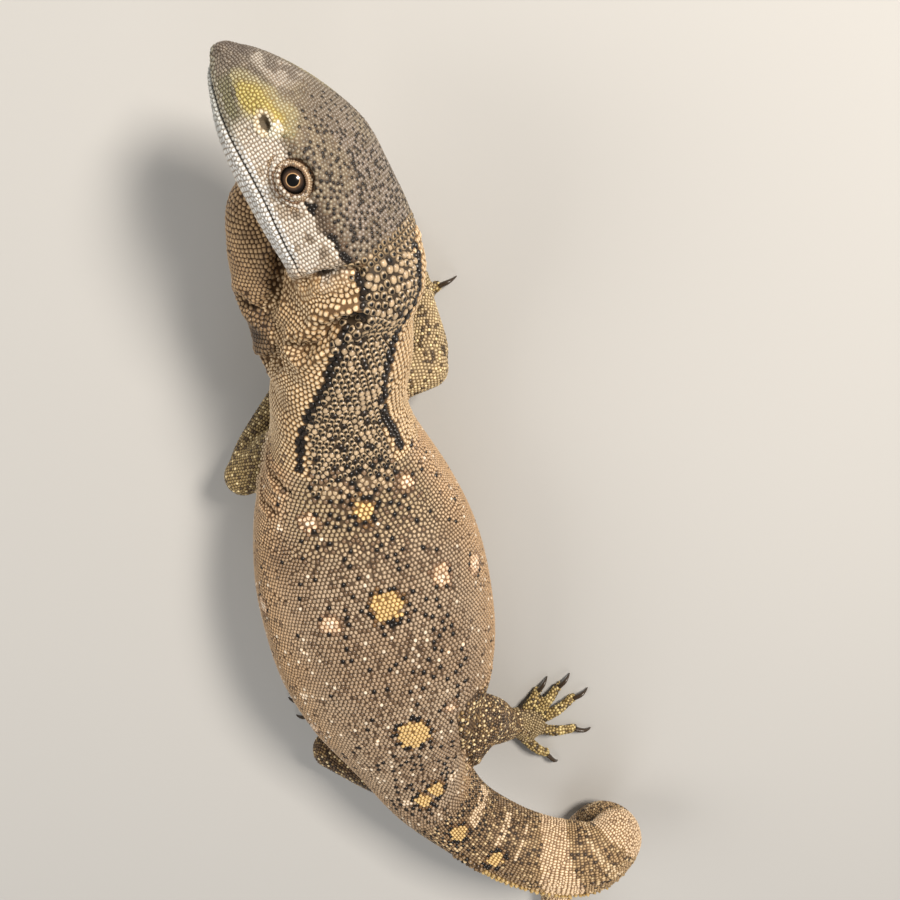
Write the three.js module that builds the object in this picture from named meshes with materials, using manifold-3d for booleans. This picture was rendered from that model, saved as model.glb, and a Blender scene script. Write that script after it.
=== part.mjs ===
// A half-grown white-throated monitor lizard, life size, as a still model that rests on a floor.
// It lies on its belly with its head raised and tilted, its right limbs spread, and its tail curled
// under itself. Millimetres, +Z up, +Y towards the head, the origin on the floor under the middle.
import * as THREE from "three";
import { mergeVertices } from "three/addons/utils/BufferGeometryUtils.js";
import Module from "manifold-3d";

const wasm = await Module();
wasm.setup();

// Driving sizes.
const HEAD_LENGTH = 60.6;
const GAP = 0.3;
const FLOOR = 0;
const BODY_SIDES = 24;
const TAIL_SIDES = 16;
const HEAD_SIDES = 30;
const HEAD_RINGS = 22;
const LIMB_SIDES = 10;
const DIGIT_SIDES = 6;
const CLAW_SIDES = 6;
const THROAT_SIDES = 16;
const BLOCK = 900;
const MIDDLE = new THREE.Vector3(23.9, -43.5, 0);

const radians = THREE.MathUtils.degToRad;
const vec = (x, y, z) => new THREE.Vector3(x, y, z);
const bell = (value, centre, width) => Math.exp(-(((value - centre) / width) ** 2));
const powered = (value, power) => Math.sign(value) * Math.abs(value) ** power;

// The body's centre line from ahead of the neck's cut to the tail's tip. Each row has the centre,
// the half width, the height above and the depth below it, and the way the middle of the back faces.
const BODY = [
  { at: [-16.3, 132.2, 52.5], wide: 16.8, up: 14.8, down: 15.4, back: [0.777, 0.484, 0.402] },
  { at: [2, 120.4, 57], wide: 16.8, up: 14.8, down: 15.4, back: [0.777, 0.484, 0.402] },
  { at: [-0.8, 106.5, 53.5], wide: 16.6, up: 14, down: 22, back: [0.74, 0.12, 0.66] },
  { at: [-3, 93, 48.5], wide: 17.8, up: 15, down: 25, back: [0.62, -0.2, 0.76] },
  { at: [-6.8, 76.7, 41], wide: 18.8, up: 16.5, down: 25, back: [0.38, -0.2, 0.9] },
  { at: [-7, 59.7, 34.5], wide: 22.5, up: 19.5, down: 27, back: [0.2, -0.1, 0.97] },
  { at: [-5, 37, 29], wide: 31.5, up: 24, down: 29.4, back: [0.13, 0, 0.99] },
  { at: [-2, 18, 28], wide: 36, up: 26.5, down: 30.2, back: [0.12, 0, 0.99] },
  { at: [1, -1, 28], wide: 37, up: 27, down: 30.4, back: [0.14, 0, 0.99] },
  { at: [4, -20.5, 28], wide: 35.5, up: 26, down: 30.2, back: [0.14, 0, 0.99] },
  { at: [7, -40, 27.5], wide: 30, up: 23, down: 28.2, back: [0.12, 0, 0.99] },
  { at: [10.5, -58, 26.5], wide: 22, up: 19, down: 21.5, back: [0.05, 0, 1] },
  { at: [16.8, -76.5, 26], wide: 16, up: 16, down: 16.5, back: [-0.08, -0.05, 0.99] },
  { at: [28, -90.3, 26.3], wide: 12.6, up: 14, down: 14, back: [-0.26, -0.27, 0.93] },
  { at: [40.5, -99, 27.3], wide: 11, up: 13, down: 13, back: [-0.35, -0.5, 0.79] },
  { at: [53, -105, 28.6], wide: 10, up: 12.6, down: 13, back: [-0.3, -0.68, 0.67] },
  { at: [65.5, -107.8, 30], wide: 9.2, up: 12.2, down: 13.4, back: [-0.2, -0.8, 0.56] },
  { at: [78, -107.2, 28.6], wide: 8.4, up: 11.6, down: 12, back: [0.1, -0.9, 0.44] },
  { at: [86, -105, 20], wide: 7.7, up: 10.4, down: 10, back: [0.6, -0.8, 0.2] },
  { at: [81.6, -108.6, 11], wide: 7.1, up: 9, down: 8.8, back: [0.8, -0.6, 0] },
  { at: [74.5, -119.5, 7.6], wide: 6.6, up: 7.9, down: 8, back: [0.85, -0.45, 0.2] },
  { at: [69, -134, 6.8], wide: 6.2, up: 7.2, down: 7.4, back: [0.85, -0.1, 0.5] },
  { at: [66, -150, 6.2], wide: 5.6, up: 6.5, down: 6.8, back: [0.6, 0, 0.8] },
  { at: [69, -168, 5.5], wide: 4.9, up: 5.8, down: 6, back: [0.3, 0, 0.95] },
  { at: [76, -186, 4.6], wide: 4.1, up: 4.9, down: 5.1, back: [0.1, 0, 0.99] },
  { at: [83, -204, 3.6], wide: 3.2, up: 3.9, down: 4.1, back: [0, 0, 1] },
  { at: [86, -223, 2.6], wide: 2.3, up: 2.8, down: 3, back: [0, 0, 1] },
  { at: [84, -242, 1.7], wide: 1.5, up: 1.8, down: 2.1, back: [0, 0, 1] },
  { at: [79, -260, 0.9], wide: 0.7, up: 0.9, down: 1.3, back: [0, 0, 1] },
];
const BODY_CURVES = [
  (row) => vec(...row.at),
  (row) => vec(row.wide, row.up, row.down),
  (row) => vec(...row.back),
].map((pick) => new THREE.CatmullRomCurve3(BODY.map(pick), false, "catmullrom", 0.5));
const TAIL_START = 12.3;

// Where the body is parted, as places along the rows of the table above.
const BODY_PARTS = [
  { name: "neck", from: 0.95, to: 4.7, rings: 24, sides: BODY_SIDES },
  { name: "chest", from: 4.7, to: 6.6, rings: 7, sides: BODY_SIDES },
  { name: "belly", from: 6.6, to: 9.5, rings: 9, sides: BODY_SIDES },
  { name: "pelvis", from: 9.5, to: TAIL_START, rings: 9, sides: BODY_SIDES },
  { name: "tail_1", from: TAIL_START, to: 15, rings: 8, sides: TAIL_SIDES },
  { name: "tail_2", from: 15, to: 17.4, rings: 8, sides: TAIL_SIDES },
  { name: "tail_3", from: 17.4, to: 20.4, rings: 13, sides: TAIL_SIDES },
  { name: "tail_4", from: 20.4, to: 24, rings: 9, sides: 14 },
  { name: "tail_5", from: 24, to: BODY.length - 1, rings: 8, sides: 12 },
];

// The loose skin of the throat and neck lies in rolls, deepest on the animal's left below.
const FOLDS = { from: 1.25, to: 4.5, count: 5, deep: 1.5, middle: 112, spread: 62 };

function curveAt(curve, place) {
  return curve.getPoint(place / (BODY.length - 1));
}

// Centre, tail-ward direction, left and up of the body at a place along its rows.
function bodyFrame(place) {
  const centre = curveAt(BODY_CURVES[0], place);
  const ahead = curveAt(BODY_CURVES[0], Math.min(place + 0.01, BODY.length - 1));
  const behind = curveAt(BODY_CURVES[0], Math.max(place - 0.01, 0));
  const along = ahead.sub(behind).normalize();
  const back = curveAt(BODY_CURVES[2], place);
  const up = back.addScaledVector(along, -back.dot(along)).normalize();
  return { centre, along, left: along.clone().cross(up), up };
}

// How far the neck's rolls of skin stand out: round backs with sharp creases between them.
function foldRelief(place, angle) {
  if (place < FOLDS.from || place > FOLDS.to) return 0;
  const share = (place - FOLDS.from) / (FOLDS.to - FOLDS.from);
  const wave = Math.abs(Math.sin(Math.PI * FOLDS.count * share)) ** 0.6;
  const fade = Math.sin(Math.PI * share) ** 0.5;
  return FOLDS.deep * (wave - 0.55) * fade * bell(angle, radians(FOLDS.middle), radians(FOLDS.spread));
}

// A point of the body's skin. The angle runs from the middle of the back towards the left.
function bodyPoint(place, angle, grow = 0) {
  const { centre, left, up } = bodyFrame(place);
  const size = curveAt(BODY_CURVES[1], place);
  const isTail = THREE.MathUtils.smoothstep(place, TAIL_START - 1, TAIL_START + 2);
  const keel = 0.1 * isTail * bell(angle, 0, 0.3);
  const power = 0.92 + 0.08 * isTail;
  const more = grow + foldRelief(place, angle);
  const across = (size.x + more) * powered(Math.sin(angle), power);
  const height = Math.cos(angle) > 0 ? (size.y + more) * (1 + keel) : size.z + more;
  const risen = height * powered(Math.cos(angle), power);
  const point = centre.addScaledVector(left, across).addScaledVector(up, risen);
  point.z = Math.max(point.z, FLOOR);
  return point;
}

function bodyRing(place, sides, grow) {
  return Array.from({ length: sides }, (_, k) => {
    const turn = (k / sides) * 2 * Math.PI;
    return bodyPoint(place, turn > Math.PI ? turn - 2 * Math.PI : turn, grow);
  });
}

// A closed mesh through rings of equal length, with flat ends that fan out from their middles.
function loft(rings) {
  const sides = rings[0].length;
  const middle = (ring) => ring.reduce((sum, p) => sum.add(p), vec(0, 0, 0)).divideScalar(sides);
  const points = [middle(rings[0]), ...rings.flat(), middle(rings.at(-1))];
  const faces = [];
  const at = (ring, k) => 1 + ring * sides + (k % sides);
  for (let k = 0; k < sides; k += 1) {
    faces.push(0, at(0, k + 1), at(0, k));
    for (let ring = 0; ring + 1 < rings.length; ring += 1) {
      faces.push(at(ring, k), at(ring, k + 1), at(ring + 1, k));
      faces.push(at(ring, k + 1), at(ring + 1, k + 1), at(ring + 1, k));
    }
    faces.push(points.length - 1, at(rings.length - 1, k), at(rings.length - 1, k + 1));
  }
  const geometry = new THREE.BufferGeometry();
  const numbers = points.flatMap((p) => p.toArray());
  geometry.setAttribute("position", new THREE.Float32BufferAttribute(numbers, 3));
  geometry.setIndex(faces);
  return geometry;
}

// A closed geometry as a solid that can be joined and cut, turned so that it faces out.
function solid(geometry) {
  const bare = geometry.clone();
  ["normal", "uv"].forEach((name) => bare.deleteAttribute(name));
  const merged = mergeVertices(bare, 1e-4);
  const triVerts = new Uint32Array(merged.index.array);
  const vertProperties = merged.attributes.position.array;
  const make = () => new wasm.Manifold(new wasm.Mesh({ numProp: 3, vertProperties, triVerts }));
  const made = make();
  if (made.volume() > 0) return made;
  for (let k = 0; k < triVerts.length; k += 3) {
    [triVerts[k], triVerts[k + 1]] = [triVerts[k + 1], triVerts[k]];
  }
  return make();
}

// The largest closed piece of a solid, as a geometry.
function geometryOf(made) {
  const pieces = made.decompose().sort((a, b) => b.volume() - a.volume());
  const mesh = pieces[0].getMesh();
  const geometry = new THREE.BufferGeometry();
  geometry.setAttribute("position", new THREE.Float32BufferAttribute(mesh.vertProperties, 3));
  geometry.setIndex(new THREE.Uint32BufferAttribute(mesh.triVerts, 1));
  return geometry;
}

const join = (solids) => solids.reduce((all, next) => all.add(next));
const cut = (made, ...tools) => tools.reduce((left, tool) => left.subtract(tool), made);

function bodySolid(from, to, rings, sides, grow = 0) {
  const places = Array.from({ length: rings }, (_, k) => from + ((to - from) * k) / (rings - 1));
  return solid(loft(places.map((place) => bodyRing(place, sides, grow))));
}

// A rounded tube through points, each with its own half width and half height.
function tube(stations, sides, { grow = 0, steps = 2, rounding = [55] } = {}) {
  const through = (points) => new THREE.CatmullRomCurve3(points, false, "catmullrom", 0.5);
  const path = through(stations.map((s) => s.at));
  const sizes = through(stations.map((s) => vec(s.wide, s.high, 0)));
  const ring = (share, shrink, push) => {
    const centre = path.getPoint(share);
    const along = path.getTangent(share);
    const across = along.clone().cross(vec(0, 0, 1)).normalize();
    const up = across.clone().cross(along);
    const size = sizes.getPoint(share);
    centre.addScaledVector(along, push * (Math.min(size.x, size.y) + grow));
    return Array.from({ length: sides }, (_, k) => {
      const turn = (k / sides) * 2 * Math.PI;
      return centre
        .clone()
        .addScaledVector(across, (size.x + grow) * shrink * Math.cos(turn))
        .addScaledVector(up, (size.y + grow) * shrink * Math.sin(turn));
    });
  };
  const caps = rounding.map(radians);
  const count = (stations.length - 1) * steps;
  return loft([
    ...caps.map((a) => ring(0, Math.cos(a), -Math.sin(a))),
    ...Array.from({ length: count + 1 }, (_, k) => ring(k / count, 1, 0)),
    ...caps.toReversed().map((a) => ring(1, Math.cos(a), Math.sin(a))),
  ]);
}

// What lies below the floor, to cut the soles flat.
const floorBlock = solid(new THREE.BoxGeometry(BLOCK, BLOCK, BLOCK).translate(0, 0, FLOOR - BLOCK / 2));

// The skull and jaws, in the head's own frame: +X right, +Y towards the snout, +Z up, from the cut
// at the neck. Each row has its distance from that cut, half width, height and depth.
const HEAD_ROWS = [
  { y: 0, wide: 16.6, up: 14.8, down: 15.3 },
  { y: 6.5, wide: 18.3, up: 15.6, down: 14.7 },
  { y: 14.1, wide: 18.9, up: 16.1, down: 13.8 },
  { y: 20.7, wide: 18.2, up: 16.7, down: 13.7 },
  { y: 27.2, wide: 17.1, up: 17, down: 13.6 },
  { y: 33.8, wide: 16.4, up: 16.3, down: 13.1 },
  { y: 40.4, wide: 15.3, up: 14.3, down: 12.2 },
  { y: 46.9, wide: 13.2, up: 11.4, down: 11 },
  { y: 52.6, wide: 10.1, up: 8.3, down: 9.5 },
  { y: 57.2, wide: 6.8, up: 5.1, down: 7.5 },
  { y: 60.6, wide: 3.2, up: 1.5, down: 4.8 },
];
const HEAD_CURVES = [
  (row) => vec(row.y, row.wide, 0),
  (row) => vec(row.up, row.down, 0),
].map((pick) => new THREE.CatmullRomCurve3(HEAD_ROWS.map(pick), false, "catmullrom", 0.5));

const EYE = { at: [13.4, 26.8, 5.4], radius: 5, opening: [3.2, 3.9], lid: 1.15, raise: 32, forward: 8 };
const NOSTRIL = { at: [14, 41.2, 6.9], size: [1.6, 2.3, 1.2] };
const EAR = { at: [18.2, 4.9, -1.2], size: [2.6, 2.1, 4.2] };
const MOUTH = { corner: 8.2, atCorner: -4.9, middle: -0.9, atTip: -4.8 };

function mouthHeight(y) {
  const share = (y - MOUTH.corner) / (HEAD_LENGTH - MOUTH.corner);
  const rest = 1 - share;
  return MOUTH.atCorner * rest ** 2 + 2 * MOUTH.middle * share * rest + MOUTH.atTip * share ** 2;
}

// The brow ridge, the hollow in front of the eye and the two lips, as heights over the plain skull.
function headRelief(y, angle, height) {
  const side = Math.abs(angle);
  const brow = 1.3 * bell(side, radians(50), 0.2) * bell(y, 28, 9);
  const hollow = -0.9 * bell(side, radians(74), 0.28) * bell(y, 35.5, 6);
  const reach = THREE.MathUtils.smoothstep(y, MOUTH.corner - 4, MOUTH.corner + 6);
  const lips = 0.55 * reach * bell(Math.abs(height - mouthHeight(y)), 1.6, 1.3);
  return brow + hollow + lips;
}

function headPoint(share, angle, grow, start) {
  const [first, second] = HEAD_CURVES.map((curve) => curve.getPoint(share));
  const [y, wide, up, down] = [first.x, first.y, second.x, second.y];
  const power = 0.92 - 0.22 * Math.sin(Math.PI * Math.min(1, 0.12 + share)) ** 0.7;
  const flat = powered(Math.sin(angle), power);
  const tall = powered(Math.cos(angle), power);
  const plain = (Math.cos(angle) > 0 ? up : down) * tall;
  const more = headRelief(y, angle, plain) + grow;
  return vec(-(wide + more) * flat, y + start * (1 - share) + grow * share, plain + more * tall);
}

function headSolid(grow, start) {
  const list = Array.from({ length: HEAD_RINGS }, (_, k) => {
    const share = k / (HEAD_RINGS - 1);
    return Array.from({ length: HEAD_SIDES }, (_, n) => {
      const turn = (n / HEAD_SIDES) * 2 * Math.PI;
      return headPoint(share, turn > Math.PI ? turn - 2 * Math.PI : turn, grow, start);
    });
  });
  return solid(loft(list));
}

// What lies below the mouth's line and ahead of its corner, shifted by part of the gap.
function jawTool(shift) {
  const outline = new THREE.Shape();
  outline.moveTo(MOUTH.corner - 3 - shift, -40);
  outline.lineTo(MOUTH.corner - shift, mouthHeight(MOUTH.corner) + shift);
  for (let y = MOUTH.corner + 4; y < HEAD_LENGTH + 8; y += 4) outline.lineTo(y, mouthHeight(y) + shift);
  outline.lineTo(HEAD_LENGTH + 8, -40);
  const slab = new THREE.ExtrudeGeometry(outline, { depth: 80, bevelEnabled: false });
  slab.applyMatrix4(new THREE.Matrix4().makeBasis(vec(0, 1, 0), vec(0, 0, 1), vec(1, 0, 0)));
  return solid(slab.translate(-40, 0, 0));
}

function ellipsoid(size, centre, across = 14, rings = 10) {
  return new THREE.SphereGeometry(1, across, rings).scale(...size).translate(...centre);
}

// The direction in which an eye looks, for side -1 on the animal's left and 1 on its right.
function eyeAxis(side) {
  const raise = radians(EYE.raise);
  const forward = radians(EYE.forward);
  return vec(side * Math.cos(raise) * Math.cos(forward), Math.sin(forward), Math.sin(raise)).normalize();
}

function eyeSocket(side) {
  const centre = vec(side * EYE.at[0], EYE.at[1], EYE.at[2]);
  const radius = EYE.radius + EYE.lid;
  const lids = ellipsoid([radius, radius * 1.22, radius], centre.toArray());
  const opening = new THREE.CylinderGeometry(1, 1, 14, 14).translate(0, 7, 0);
  opening.scale(EYE.opening[0], 1, EYE.opening[1]);
  const turned = new THREE.Quaternion().setFromUnitVectors(vec(0, 1, 0), eyeAxis(side));
  opening.applyQuaternion(turned).translate(...centre.toArray());
  const ball = ellipsoid(Array(3).fill(EYE.radius + GAP), centre.toArray());
  return { lids: solid(lids), opening: solid(opening), ball: solid(ball), centre };
}

const skull = headSolid(0, GAP / 2);
const sockets = [-1, 1].map(eyeSocket);
const holes = [-1, 1].flatMap((side) => [
  solid(ellipsoid(NOSTRIL.size, [side * NOSTRIL.at[0], NOSTRIL.at[1], NOSTRIL.at[2]], 8, 6)),
  solid(ellipsoid(EAR.size, [side * EAR.at[0], EAR.at[1], EAR.at[2]], 8, 6)),
]);
const upperHead = cut(
  join([skull, ...sockets.map((s) => s.lids)]),
  jawTool(GAP / 2),
  ...sockets.flatMap((s) => [s.ball, s.opening]),
  ...holes,
);
const lowerJaw = skull.intersect(jawTool(-GAP / 2));

// Materials, one for each finish.
const finish = (color, roughness) => new THREE.MeshStandardMaterial({ color, roughness, metalness: 0 });
const FINISHES = {
  hide: finish(0x9c7b5c, 0.75),
  headHide: finish(0x8d8272, 0.7),
  jawHide: finish(0xc4bbab, 0.7),
  limbHide: finish(0x857044, 0.75),
  eye: finish(0x140d08, 0.1),
  claw: finish(0x1c1916, 0.4),
};

const lizard = new THREE.Group();
function addPiece(group, name, geometry, material) {
  const mesh = new THREE.Mesh(geometry, material);
  mesh.name = name;
  group.add(mesh);
}

// The head's frame follows from the body's at the neck's cut, where the body runs towards the tail.
const joint = bodyFrame(1);
const head = new THREE.Group();
head.position.copy(joint.centre);
head.quaternion.setFromRotationMatrix(
  new THREE.Matrix4().makeBasis(joint.left.clone().negate(), joint.along.clone().negate(), joint.up),
);
addPiece(head, "head", geometryOf(upperHead), FINISHES.headHide);
addPiece(head, "lower_jaw", geometryOf(lowerJaw), FINISHES.jawHide);
sockets.forEach((socket, k) => {
  const ball = ellipsoid(Array(3).fill(EYE.radius), socket.centre.toArray(), 16, 12);
  addPiece(head, ["eye_left", "eye_right"][k], geometryOf(solid(ball)), FINISHES.eye);
});
lizard.add(head);
head.updateMatrix();
const headRoom = solid(geometryOf(headSolid(GAP, -GAP / 2)).applyMatrix4(head.matrix));

// The pouch of the throat hangs under the jaws, towards the animal's left because the head is tilted.
const THROAT = [
  { at: vec(-25.0, 132.6, 47.0), wide: 8.5, high: 7.5 },
  { at: vec(-24.1, 123.1, 45.0), wide: 11, high: 10 },
  { at: vec(-22.8, 114.4, 43.0), wide: 12, high: 11 },
  { at: vec(-20.6, 104.6, 42.0), wide: 11.8, high: 11 },
  { at: vec(-18.2, 95.6, 41.0), wide: 12.4, high: 11.5 },
  { at: vec(-16.3, 88.6, 39.5), wide: 11.5, high: 11 },
  { at: vec(-13.8, 79.9, 37.5), wide: 9, high: 8.5 },
];
const pouch = solid(tube(THROAT, THROAT_SIDES));

// Neck, trunk and tail, each drawn back from its ends by half the gap.
BODY_PARTS.forEach(({ name, from, to, rings, sides }) => {
  const pace = (at) => {
    const before = curveAt(BODY_CURVES[0], Math.max(at - 0.05, 0));
    return curveAt(BODY_CURVES[0], at).distanceTo(before) / 0.05;
  };
  const start = from + GAP / 2 / pace(from);
  const isTip = to === BODY.length - 1;
  const end = isTip ? to : to - GAP / 2 / pace(to);
  const piece = bodySolid(start, end, rings, sides);
  const whole = name === "neck" ? cut(join([piece, pouch]), headRoom) : piece;
  addPiece(lizard, name, geometryOf(whole), FINISHES.hide);
});
const trunkRoom = join([
  bodySolid(2, TAIL_START + 0.7, 50, BODY_SIDES, GAP),
  solid(tube(THROAT, THROAT_SIDES, { grow: GAP })),
]);

// Limbs. Each has the joint in the body, the bend and the end joint with their radii, then the
// sole's middle and its digits: azimuth from +Y towards -X, length, and place round the sole.
const LIMBS = [
  {
    name: "fore_right",
    upper: "upper_arm",
    lower: "forearm",
    end: "hand",
    joints: [vec(-1, 73.5, 25), vec(17.5, 77, 20), vec(15.5, 94, 7.5)],
    radii: [7.6, 6.5, 6.8, 4.2],
    sole: vec(12.5, 99, 3.5),
    soleHalf: [5.8, 3.8],
    digits: [
      { from: [9, 97], turn: 92, length: 9 },
      { from: [8, 101], turn: 62, length: 11.5 },
      { from: [10, 103], turn: 38, length: 13 },
      { from: [13, 103.5], turn: 16, length: 9 },
      { from: [14.5, 94], turn: -64, length: 6.6 },
    ],
  },
  {
    name: "fore_left",
    upper: "upper_arm",
    lower: "forearm",
    end: "hand",
    joints: [vec(-16, 60, 27), vec(-40.5, 40.5, 19.5), vec(-27, 66, 7)],
    radii: [9, 6.4, 6.6, 4.2],
    sole: vec(-22.5, 72, 3.5),
    soleHalf: [5.8, 3.8],
    digits: [
      { from: [-18, 72], turn: -86, length: 9 },
      { from: [-17.5, 76], turn: -52, length: 12 },
      { from: [-19.5, 78], turn: -26, length: 13.5 },
      { from: [-22.5, 78], turn: -4, length: 13 },
      { from: [-25, 74.5], turn: 22, length: 10 },
    ],
  },
  {
    name: "hind_right",
    upper: "thigh",
    lower: "shank",
    end: "foot",
    joints: [vec(15, -74, 25), vec(35.5, -49, 25.5), vec(45, -66, 8.5)],
    radii: [11.5, 8.6, 8.4, 5.2],
    sole: vec(52, -68.5, 3.6),
    soleHalf: [7.2, 3.9],
    digits: [
      { from: [51.5, -62.5], turn: -32, length: 8.5 },
      { from: [56.5, -62], turn: -39, length: 11 },
      { from: [58.5, -65.5], turn: -56, length: 12.6 },
      { from: [58, -71], turn: -96, length: 12 },
      { from: [53, -76.5], turn: -135, length: 10.2 },
    ],
  },
  {
    name: "hind_left",
    upper: "thigh",
    lower: "shank",
    end: "foot",
    joints: [vec(6, -76, 22), vec(-18, -68.5, 18), vec(-3, -58, 7)],
    radii: [10, 6.8, 6.8, 4.6],
    sole: vec(-9, -60, 3.6),
    soleHalf: [6.6, 3.8],
    digits: [
      { from: [-11, -54.5], turn: 60, length: 12 },
      { from: [-13, -56.5], turn: 74, length: 14 },
      { from: [-14, -60], turn: 88, length: 14.5 },
      { from: [-13, -63], turn: 102, length: 13.5 },
      { from: [-9, -65.5], turn: 118, length: 12 },
    ],
  },
];
const DIGIT = { root: 2.3, knuckle: 2.1, tip: 1.8, rise: 4.1, end: 1.6 };
const CLAW = { length: 4.6, root: 1.1, tip: 0.22, sunk: 1.2 };

// A digit's line on the floor: out along its heading, raised at the knuckle, low at the end.
function digitLine({ from, turn, length }) {
  const heading = vec(-Math.sin(radians(turn)), Math.cos(radians(turn)), 0);
  const along = (share, height) => vec(from[0], from[1], height).addScaledVector(heading, length * share);
  return { heading, along };
}

function digitTube(digit) {
  const { along } = digitLine(digit);
  const round = (at, size) => ({ at, wide: size, high: size });
  return tube(
    [
      round(along(-0.3, 3.4), DIGIT.root),
      round(along(0.35, DIGIT.rise), DIGIT.knuckle),
      round(along(0.7, DIGIT.rise - 0.9), DIGIT.knuckle * 0.9),
      round(along(1, DIGIT.end), DIGIT.tip),
    ],
    DIGIT_SIDES,
    { steps: 1 },
  );
}

// A claw leaves the digit's end, arches over and comes down to its point just above the floor.
function clawTube(digit, grow) {
  const { heading, along } = digitLine(digit);
  const end = along(1, DIGIT.end);
  const step = (out, height, size) => ({
    at: end.clone().addScaledVector(heading, out).setZ(height),
    wide: size * 0.75,
    high: size,
  });
  return tube(
    [
      step(DIGIT.tip - CLAW.sunk, 2.4, CLAW.root),
      step(DIGIT.tip + CLAW.length * 0.35, 2.7, CLAW.root * 0.85),
      step(DIGIT.tip + CLAW.length * 0.75, 1.8, CLAW.root * 0.5),
      step(DIGIT.tip + CLAW.length, 0.5, CLAW.tip),
    ],
    CLAW_SIDES,
    { grow, steps: 1, rounding: [] },
  );
}

LIMBS.forEach((limb) => {
  const [root, bend, end] = limb.joints;
  const [rootSize, bendSize, calf, endSize] = limb.radii;
  const round = (at, size) => ({ at, wide: size, high: size });
  const between = (a, b, share) => a.clone().lerp(b, share);
  const upperLine = [
    round(root, rootSize),
    round(between(root, bend, 0.5), rootSize * 0.5 + bendSize * 0.5 + 0.4),
    round(bend, bendSize),
  ];
  const lowerLine = [
    round(bend, bendSize * 0.95),
    round(between(bend, end, 0.35), calf),
    round(end, endSize),
  ];
  const [soleWide, soleHigh] = limb.soleHalf;
  const outward = limb.sole.clone().sub(end).setZ(0).normalize();
  const palm = tube(
    [
      { at: end.clone().setZ(endSize + 0.8), wide: endSize, high: endSize * 0.9 },
      { at: limb.sole, wide: soleWide, high: soleHigh },
      { at: limb.sole.clone().addScaledVector(outward, 3.5), wide: soleWide * 0.9, high: soleHigh * 0.85 },
    ],
    LIMB_SIDES,
  );
  const claws = limb.digits.map((digit) => cut(solid(clawTube(digit, 0)), floorBlock));
  const clawRooms = limb.digits.map((digit) => solid(clawTube(digit, GAP)));
  const upperRoom = solid(tube(upperLine, LIMB_SIDES, { grow: GAP }));
  const lowerRoom = solid(tube(lowerLine, LIMB_SIDES, { grow: GAP }));
  const upper = cut(solid(tube(upperLine, LIMB_SIDES)), trunkRoom, floorBlock);
  const lower = cut(solid(tube(lowerLine, LIMB_SIDES)), upperRoom, trunkRoom, floorBlock);
  const digits = limb.digits.map((digit) => solid(digitTube(digit)));
  const sole = cut(join([solid(palm), ...digits]), lowerRoom, trunkRoom, floorBlock, ...clawRooms);
  addPiece(lizard, `${limb.name}_${limb.upper}`, geometryOf(upper), FINISHES.hide);
  addPiece(lizard, `${limb.name}_${limb.lower}`, geometryOf(lower), FINISHES.limbHide);
  addPiece(lizard, `${limb.name}_${limb.end}`, geometryOf(sole), FINISHES.limbHide);
  claws.forEach((claw, k) => {
    addPiece(lizard, `${limb.name}_claw_${k + 1}`, geometryOf(claw), FINISHES.claw);
  });
});

lizard.position.copy(MIDDLE).negate();
export default lizard;
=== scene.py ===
"""A half-grown white-throated monitor lizard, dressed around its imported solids.

One skin is lofted from the body's rows, the head's rows and the limbs' lines, fused and sculpted. Every
scale is a small dome of its own, set on that skin in rows and shaped by its neighbours. Skin and scales
take their colours from the same markings, which are worked out along the body. Sizes are in millimetres
and become metres when a mesh is made.
"""

import logging
import math
from collections.abc import Callable
from dataclasses import dataclass, field
from enum import IntEnum

import bmesh
import bpy
import numpy as np
from mathutils.bvhtree import BVHTree
from mathutils.kdtree import KDTree
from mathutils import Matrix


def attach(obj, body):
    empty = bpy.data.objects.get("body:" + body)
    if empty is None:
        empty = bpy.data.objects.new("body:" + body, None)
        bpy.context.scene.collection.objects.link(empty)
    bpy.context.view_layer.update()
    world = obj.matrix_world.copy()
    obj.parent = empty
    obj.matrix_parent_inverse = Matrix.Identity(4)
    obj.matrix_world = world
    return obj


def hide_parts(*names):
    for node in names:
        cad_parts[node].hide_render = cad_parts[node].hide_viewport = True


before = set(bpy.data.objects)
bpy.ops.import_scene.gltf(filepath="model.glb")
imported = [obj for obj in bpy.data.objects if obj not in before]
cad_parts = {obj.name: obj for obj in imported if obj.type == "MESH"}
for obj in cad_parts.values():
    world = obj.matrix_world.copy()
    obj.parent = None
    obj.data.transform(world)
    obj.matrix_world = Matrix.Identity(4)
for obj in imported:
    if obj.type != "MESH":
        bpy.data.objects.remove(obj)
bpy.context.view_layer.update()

log = logging.getLogger("monitor_lizard")
MM = 0.001
MIDDLE = np.array([23.9, -43.5, 0.0])
COAT_DEPTH = 0.3
FULL_TURN = 2 * math.pi
TAIL_FROM = 12.3
Surface = Callable[[np.ndarray, np.ndarray], np.ndarray]


def linear(colour: str) -> np.ndarray:
    """Turns an sRGB hex value into linear light.

    Args:
        colour: Six hex digits, such as "c4a27a".

    Returns:
        Red, green and blue between 0 and 1.
    """
    parts = np.array([int(colour[k : k + 2], 16) for k in (0, 2, 4)]) / 255
    return np.where(parts <= 0.04045, parts / 12.92, ((parts + 0.055) / 1.055) ** 2.4)


def smoothstep(value: np.ndarray, low: float, high: float) -> np.ndarray:
    """Rises from 0 at low to 1 at high on the cubic 3t² - 2t³.

    Args:
        value: Numbers to judge.
        low: Where the rise starts.
        high: Where it ends.

    Returns:
        Numbers between 0 and 1.
    """
    share = np.clip((value - low) / (high - low), 0, 1)
    return share * share * (3 - 2 * share)


def bell(value: np.ndarray, centre: float, width: float) -> np.ndarray:
    """Gives exp(-((value - centre) / width)²).

    Args:
        value: Numbers to judge.
        centre: Where the bell is 1.
        width: How far from the centre it has fallen to 1/e.

    Returns:
        Numbers between 0 and 1.
    """
    return np.exp(-(((value - centre) / width) ** 2))


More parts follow.
